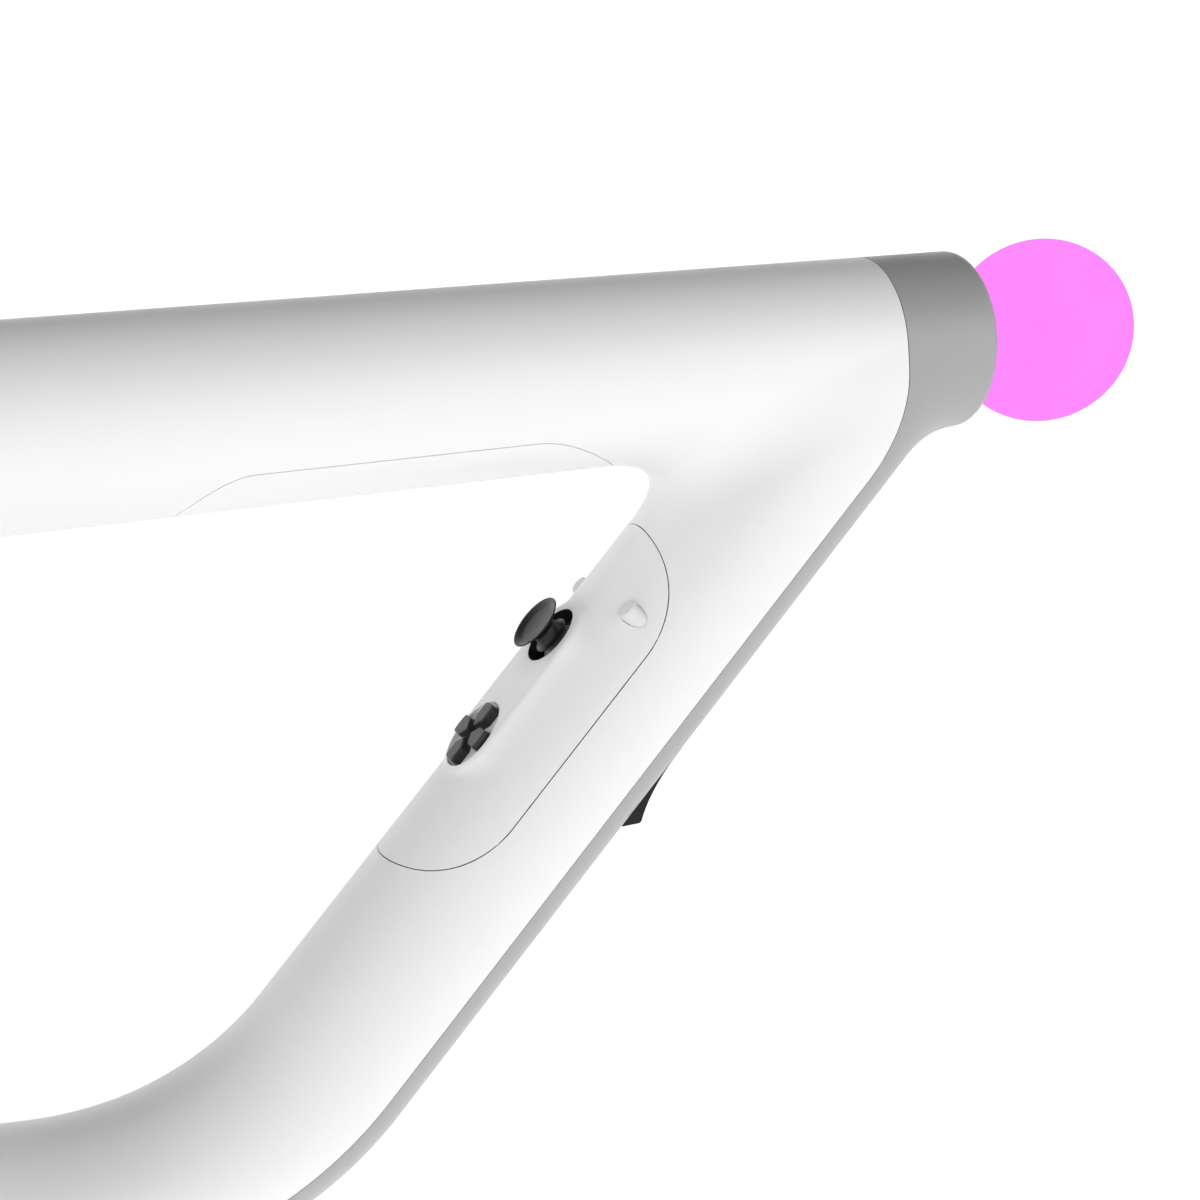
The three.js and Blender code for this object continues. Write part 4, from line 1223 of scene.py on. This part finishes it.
def muzzle():
    neck = 9.0
    inner = BALL_RADIUS - 1.2
    hole, inner_hole = (math.pi - math.asin(neck / r) for r in (BALL_RADIUS, inner))
    profile = sphere(BALL_RADIUS, 0, hole, 64) + sphere(inner, inner_hole, 0, 24)
    ball = turned_profile("tracking_ball_skin", profile, MUZZLE_PLACE, GLOW)
    stand_in(ball, "tracking_ball")
    front = -math.sqrt(BALL_RADIUS**2 - neck**2) - 0.5
    tube = [(7.9, -41), (neck, -41, 0.01), (neck, front, 0.3), (7.9, front, 0.1), (7.9, -41)]
    turned_piece("ball_neck", tube, MUZZLE_PLACE, DARK)
    outer = TUBE_RADIUS - 2.5
    dish = [(neck + 0.3, -32), (outer, -32, 0.01), (outer, -27.3, 0.3), (outer - 1.2, -27.3, 0.5),
            (neck + 1.5, -29.2, 2.0), (neck + 0.3, -29.2, 0.01), (neck + 0.3, -32)]
    turned_piece("ball_socket", dish, MUZZLE_PLACE, DARK)


# ---- screws


def screws():
    """Cross-head screws at the bottom of their wells."""
    for number, (x, z) in enumerate(SCREW_PLACES, 1):
        node = f"shell_screw_{number}"
        side = Place((x, z), (1, 0), (0, 1))
        side.axes = np.array([[1, 0, 0], [0, 0, -1], [0, 1, 0]], float)
        top = cad_box(node)[1][1]
        foot, floor_height, wall = top - 2.2, top - 1.9, SCREW_SINK + 0.02
        head = [(0, foot), (1.2, foot, 0.01), (2.2, top - 0.8, 0.3), (2.1, top, 0.5), (0, top)]
        turned_piece(node, head, side, STEEL, 40)
        well = [(wall, TUBE_RADIUS - 1.2), (wall, floor_height, 0.01), (0, floor_height)]
        extra(turned_object(f"{node}_well", well, side, WHITE, 40), "housing")


# ---- the inside


def finish_inner_nodes():
    """Materials of the CAD nodes that show as they are, by what their names end with."""
    finishes = {
        "_module": (DARK, "dark_plastic"),
        "_membrane": (PAD_RUBBER, "black_rubber"),
        "_board": (BOARD, "circuit_board"),
        "battery_pack": (BATTERY, "battery_wrap"),
        "light_guide": (CLEAR, "clear_plastic"),
    }
    steel = (STEEL, "steel")
    for name, node in frame["nodes"].items():
        finish = next((f for ending, f in finishes.items() if name.endswith(ending)), steel)
        node.data.materials.clear()
        node.data.materials.append(finish[0])


# ---- stage


def studio():
    """White sweep and soft light from the sides: the sky over the object is the darkest part."""
    bpy.context.scene.view_settings.view_transform = "Standard"
    world = bpy.data.worlds.new("studio")
    bpy.context.scene.world = world
    world.use_nodes = True
    tree = world.node_tree
    direction = tree.nodes.new("ShaderNodeTexCoord")
    height = tree.nodes.new("ShaderNodeSeparateXYZ")
    ramp = tree.nodes.new("ShaderNodeValToRGB")
    tree.links.new(direction.outputs["Generated"], height.inputs["Vector"])
    tree.links.new(height.outputs["Z"], ramp.inputs["Fac"])
    stops = ramp.color_ramp.elements
    for stop, position, shade in zip(stops, (0.3, 0.72), (1, 0.03)):
        stop.position = position
        stop.color = (shade, shade, shade, 1)
    tree.links.new(ramp.outputs["Color"], tree.nodes["Background"].inputs["Color"])
    tree.nodes["Background"].inputs["Strength"].default_value = 1.13
    aim = at(-100, 0, -40)
    softbox("high_softbox", at(-667, -493, 638), aim, 0.3, 0.5)
    softbox("front_softbox", at(350, -700, 60), aim, 0.7, 0.9)


def floor():
    bpy.ops.mesh.primitive_plane_add(size=12, location=(0, 0, 0))
    made = bpy.context.object
    made.name = "studio_floor"
    nodes = Nodes("pale studio floor").set(Roughness=0.9, Specular_IOR_Level=0.0, Emission_Strength=0.78)
    shade = nodes.ramp(nodes.noise(3), 0.93, 0.95, 0.3, 0.7)
    nodes.link(shade, nodes.shader.inputs["Base Color"])
    nodes.link(shade, nodes.shader.inputs["Emission Color"])
    made.data.materials.append(nodes.material)
    made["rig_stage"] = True


def at(x, y, z):
    """Design-frame millimetres to scene metres."""
    return Vector((np.array([x, y, z]) + ORIGIN) * MM)


def softbox(name, place, aim, size, power):
    data = bpy.data.lights.new(name, "AREA")
    data.shape = "DISK"
    data.size = size
    data.energy = power
    lamp = bpy.data.objects.new(name, data)
    bpy.context.scene.collection.objects.link(lamp)
    lamp.location = place
    lamp.rotation_euler = (aim - place).to_track_quat("-Z", "Y").to_euler()


def camera():
    """Looks from the right and behind, a little down, from the height of the top tube."""
    heading, pitch, roll = math.radians(20.1), math.radians(-12.83), math.radians(-3.75)
    data = bpy.data.cameras.new("camera")
    data.lens, data.sensor_width = 46.5, 36
    made = bpy.data.objects.new("camera", data)
    bpy.context.scene.collection.objects.link(made)
    place = at(-241.0, -327.6, 27.5)
    turn = Matrix.Rotation(-heading, 4, "Z") @ Matrix.Rotation(math.pi / 2 + pitch, 4, "X")
    made.matrix_world = Matrix.Translation(place) @ turn @ Matrix.Rotation(roll, 4, "Z")
    bpy.context.scene.camera = made


# ---- assembly


finish_inner_nodes()
shells()
spine()
panel()
butt_pad()
side_hole = SIDE_BUTTON_RADIUS + KEY_CLEARANCE
pod("front_control_pod", FRONT_DECK, FRONT_POD,
    (SIDE_BUTTON_AT, -SIDE_BUTTON_ACROSS, side_hole), (SIDE_BUTTON_AT, SIDE_BUTTON_ACROSS, side_hole))
pod("rear_control_pod", REAR_DECK, REAR_POD,
    (HOME_AT, 0, HOME_RADIUS + KEY_CLEARANCE), (LIGHT_AT, 0, LIGHT_RADIUS + LIGHT_CLEARANCE))
thumbstick("front", FRONT_DECK)
thumbstick("rear", REAR_DECK)
dpad(FRONT_DECK)
face_buttons(REAR_DECK)
side_buttons(FRONT_DECK)
home_and_light(REAR_DECK)
trigger_lever("front_trigger", FRONT_TRIGGER, FRONT_TRIGGER_PLACE)
trigger_lever("main_trigger", MAIN_TRIGGER, REAR_PLACE)
muzzle()
screws()

studio()
floor()
camera()

visual_low, visual_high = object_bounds()
boxes = {"cad": (cad_low, cad_high), "visual": (visual_low, visual_high)}
{name: [list(low), list(high)] for name, (low, high) in boxes.items()}
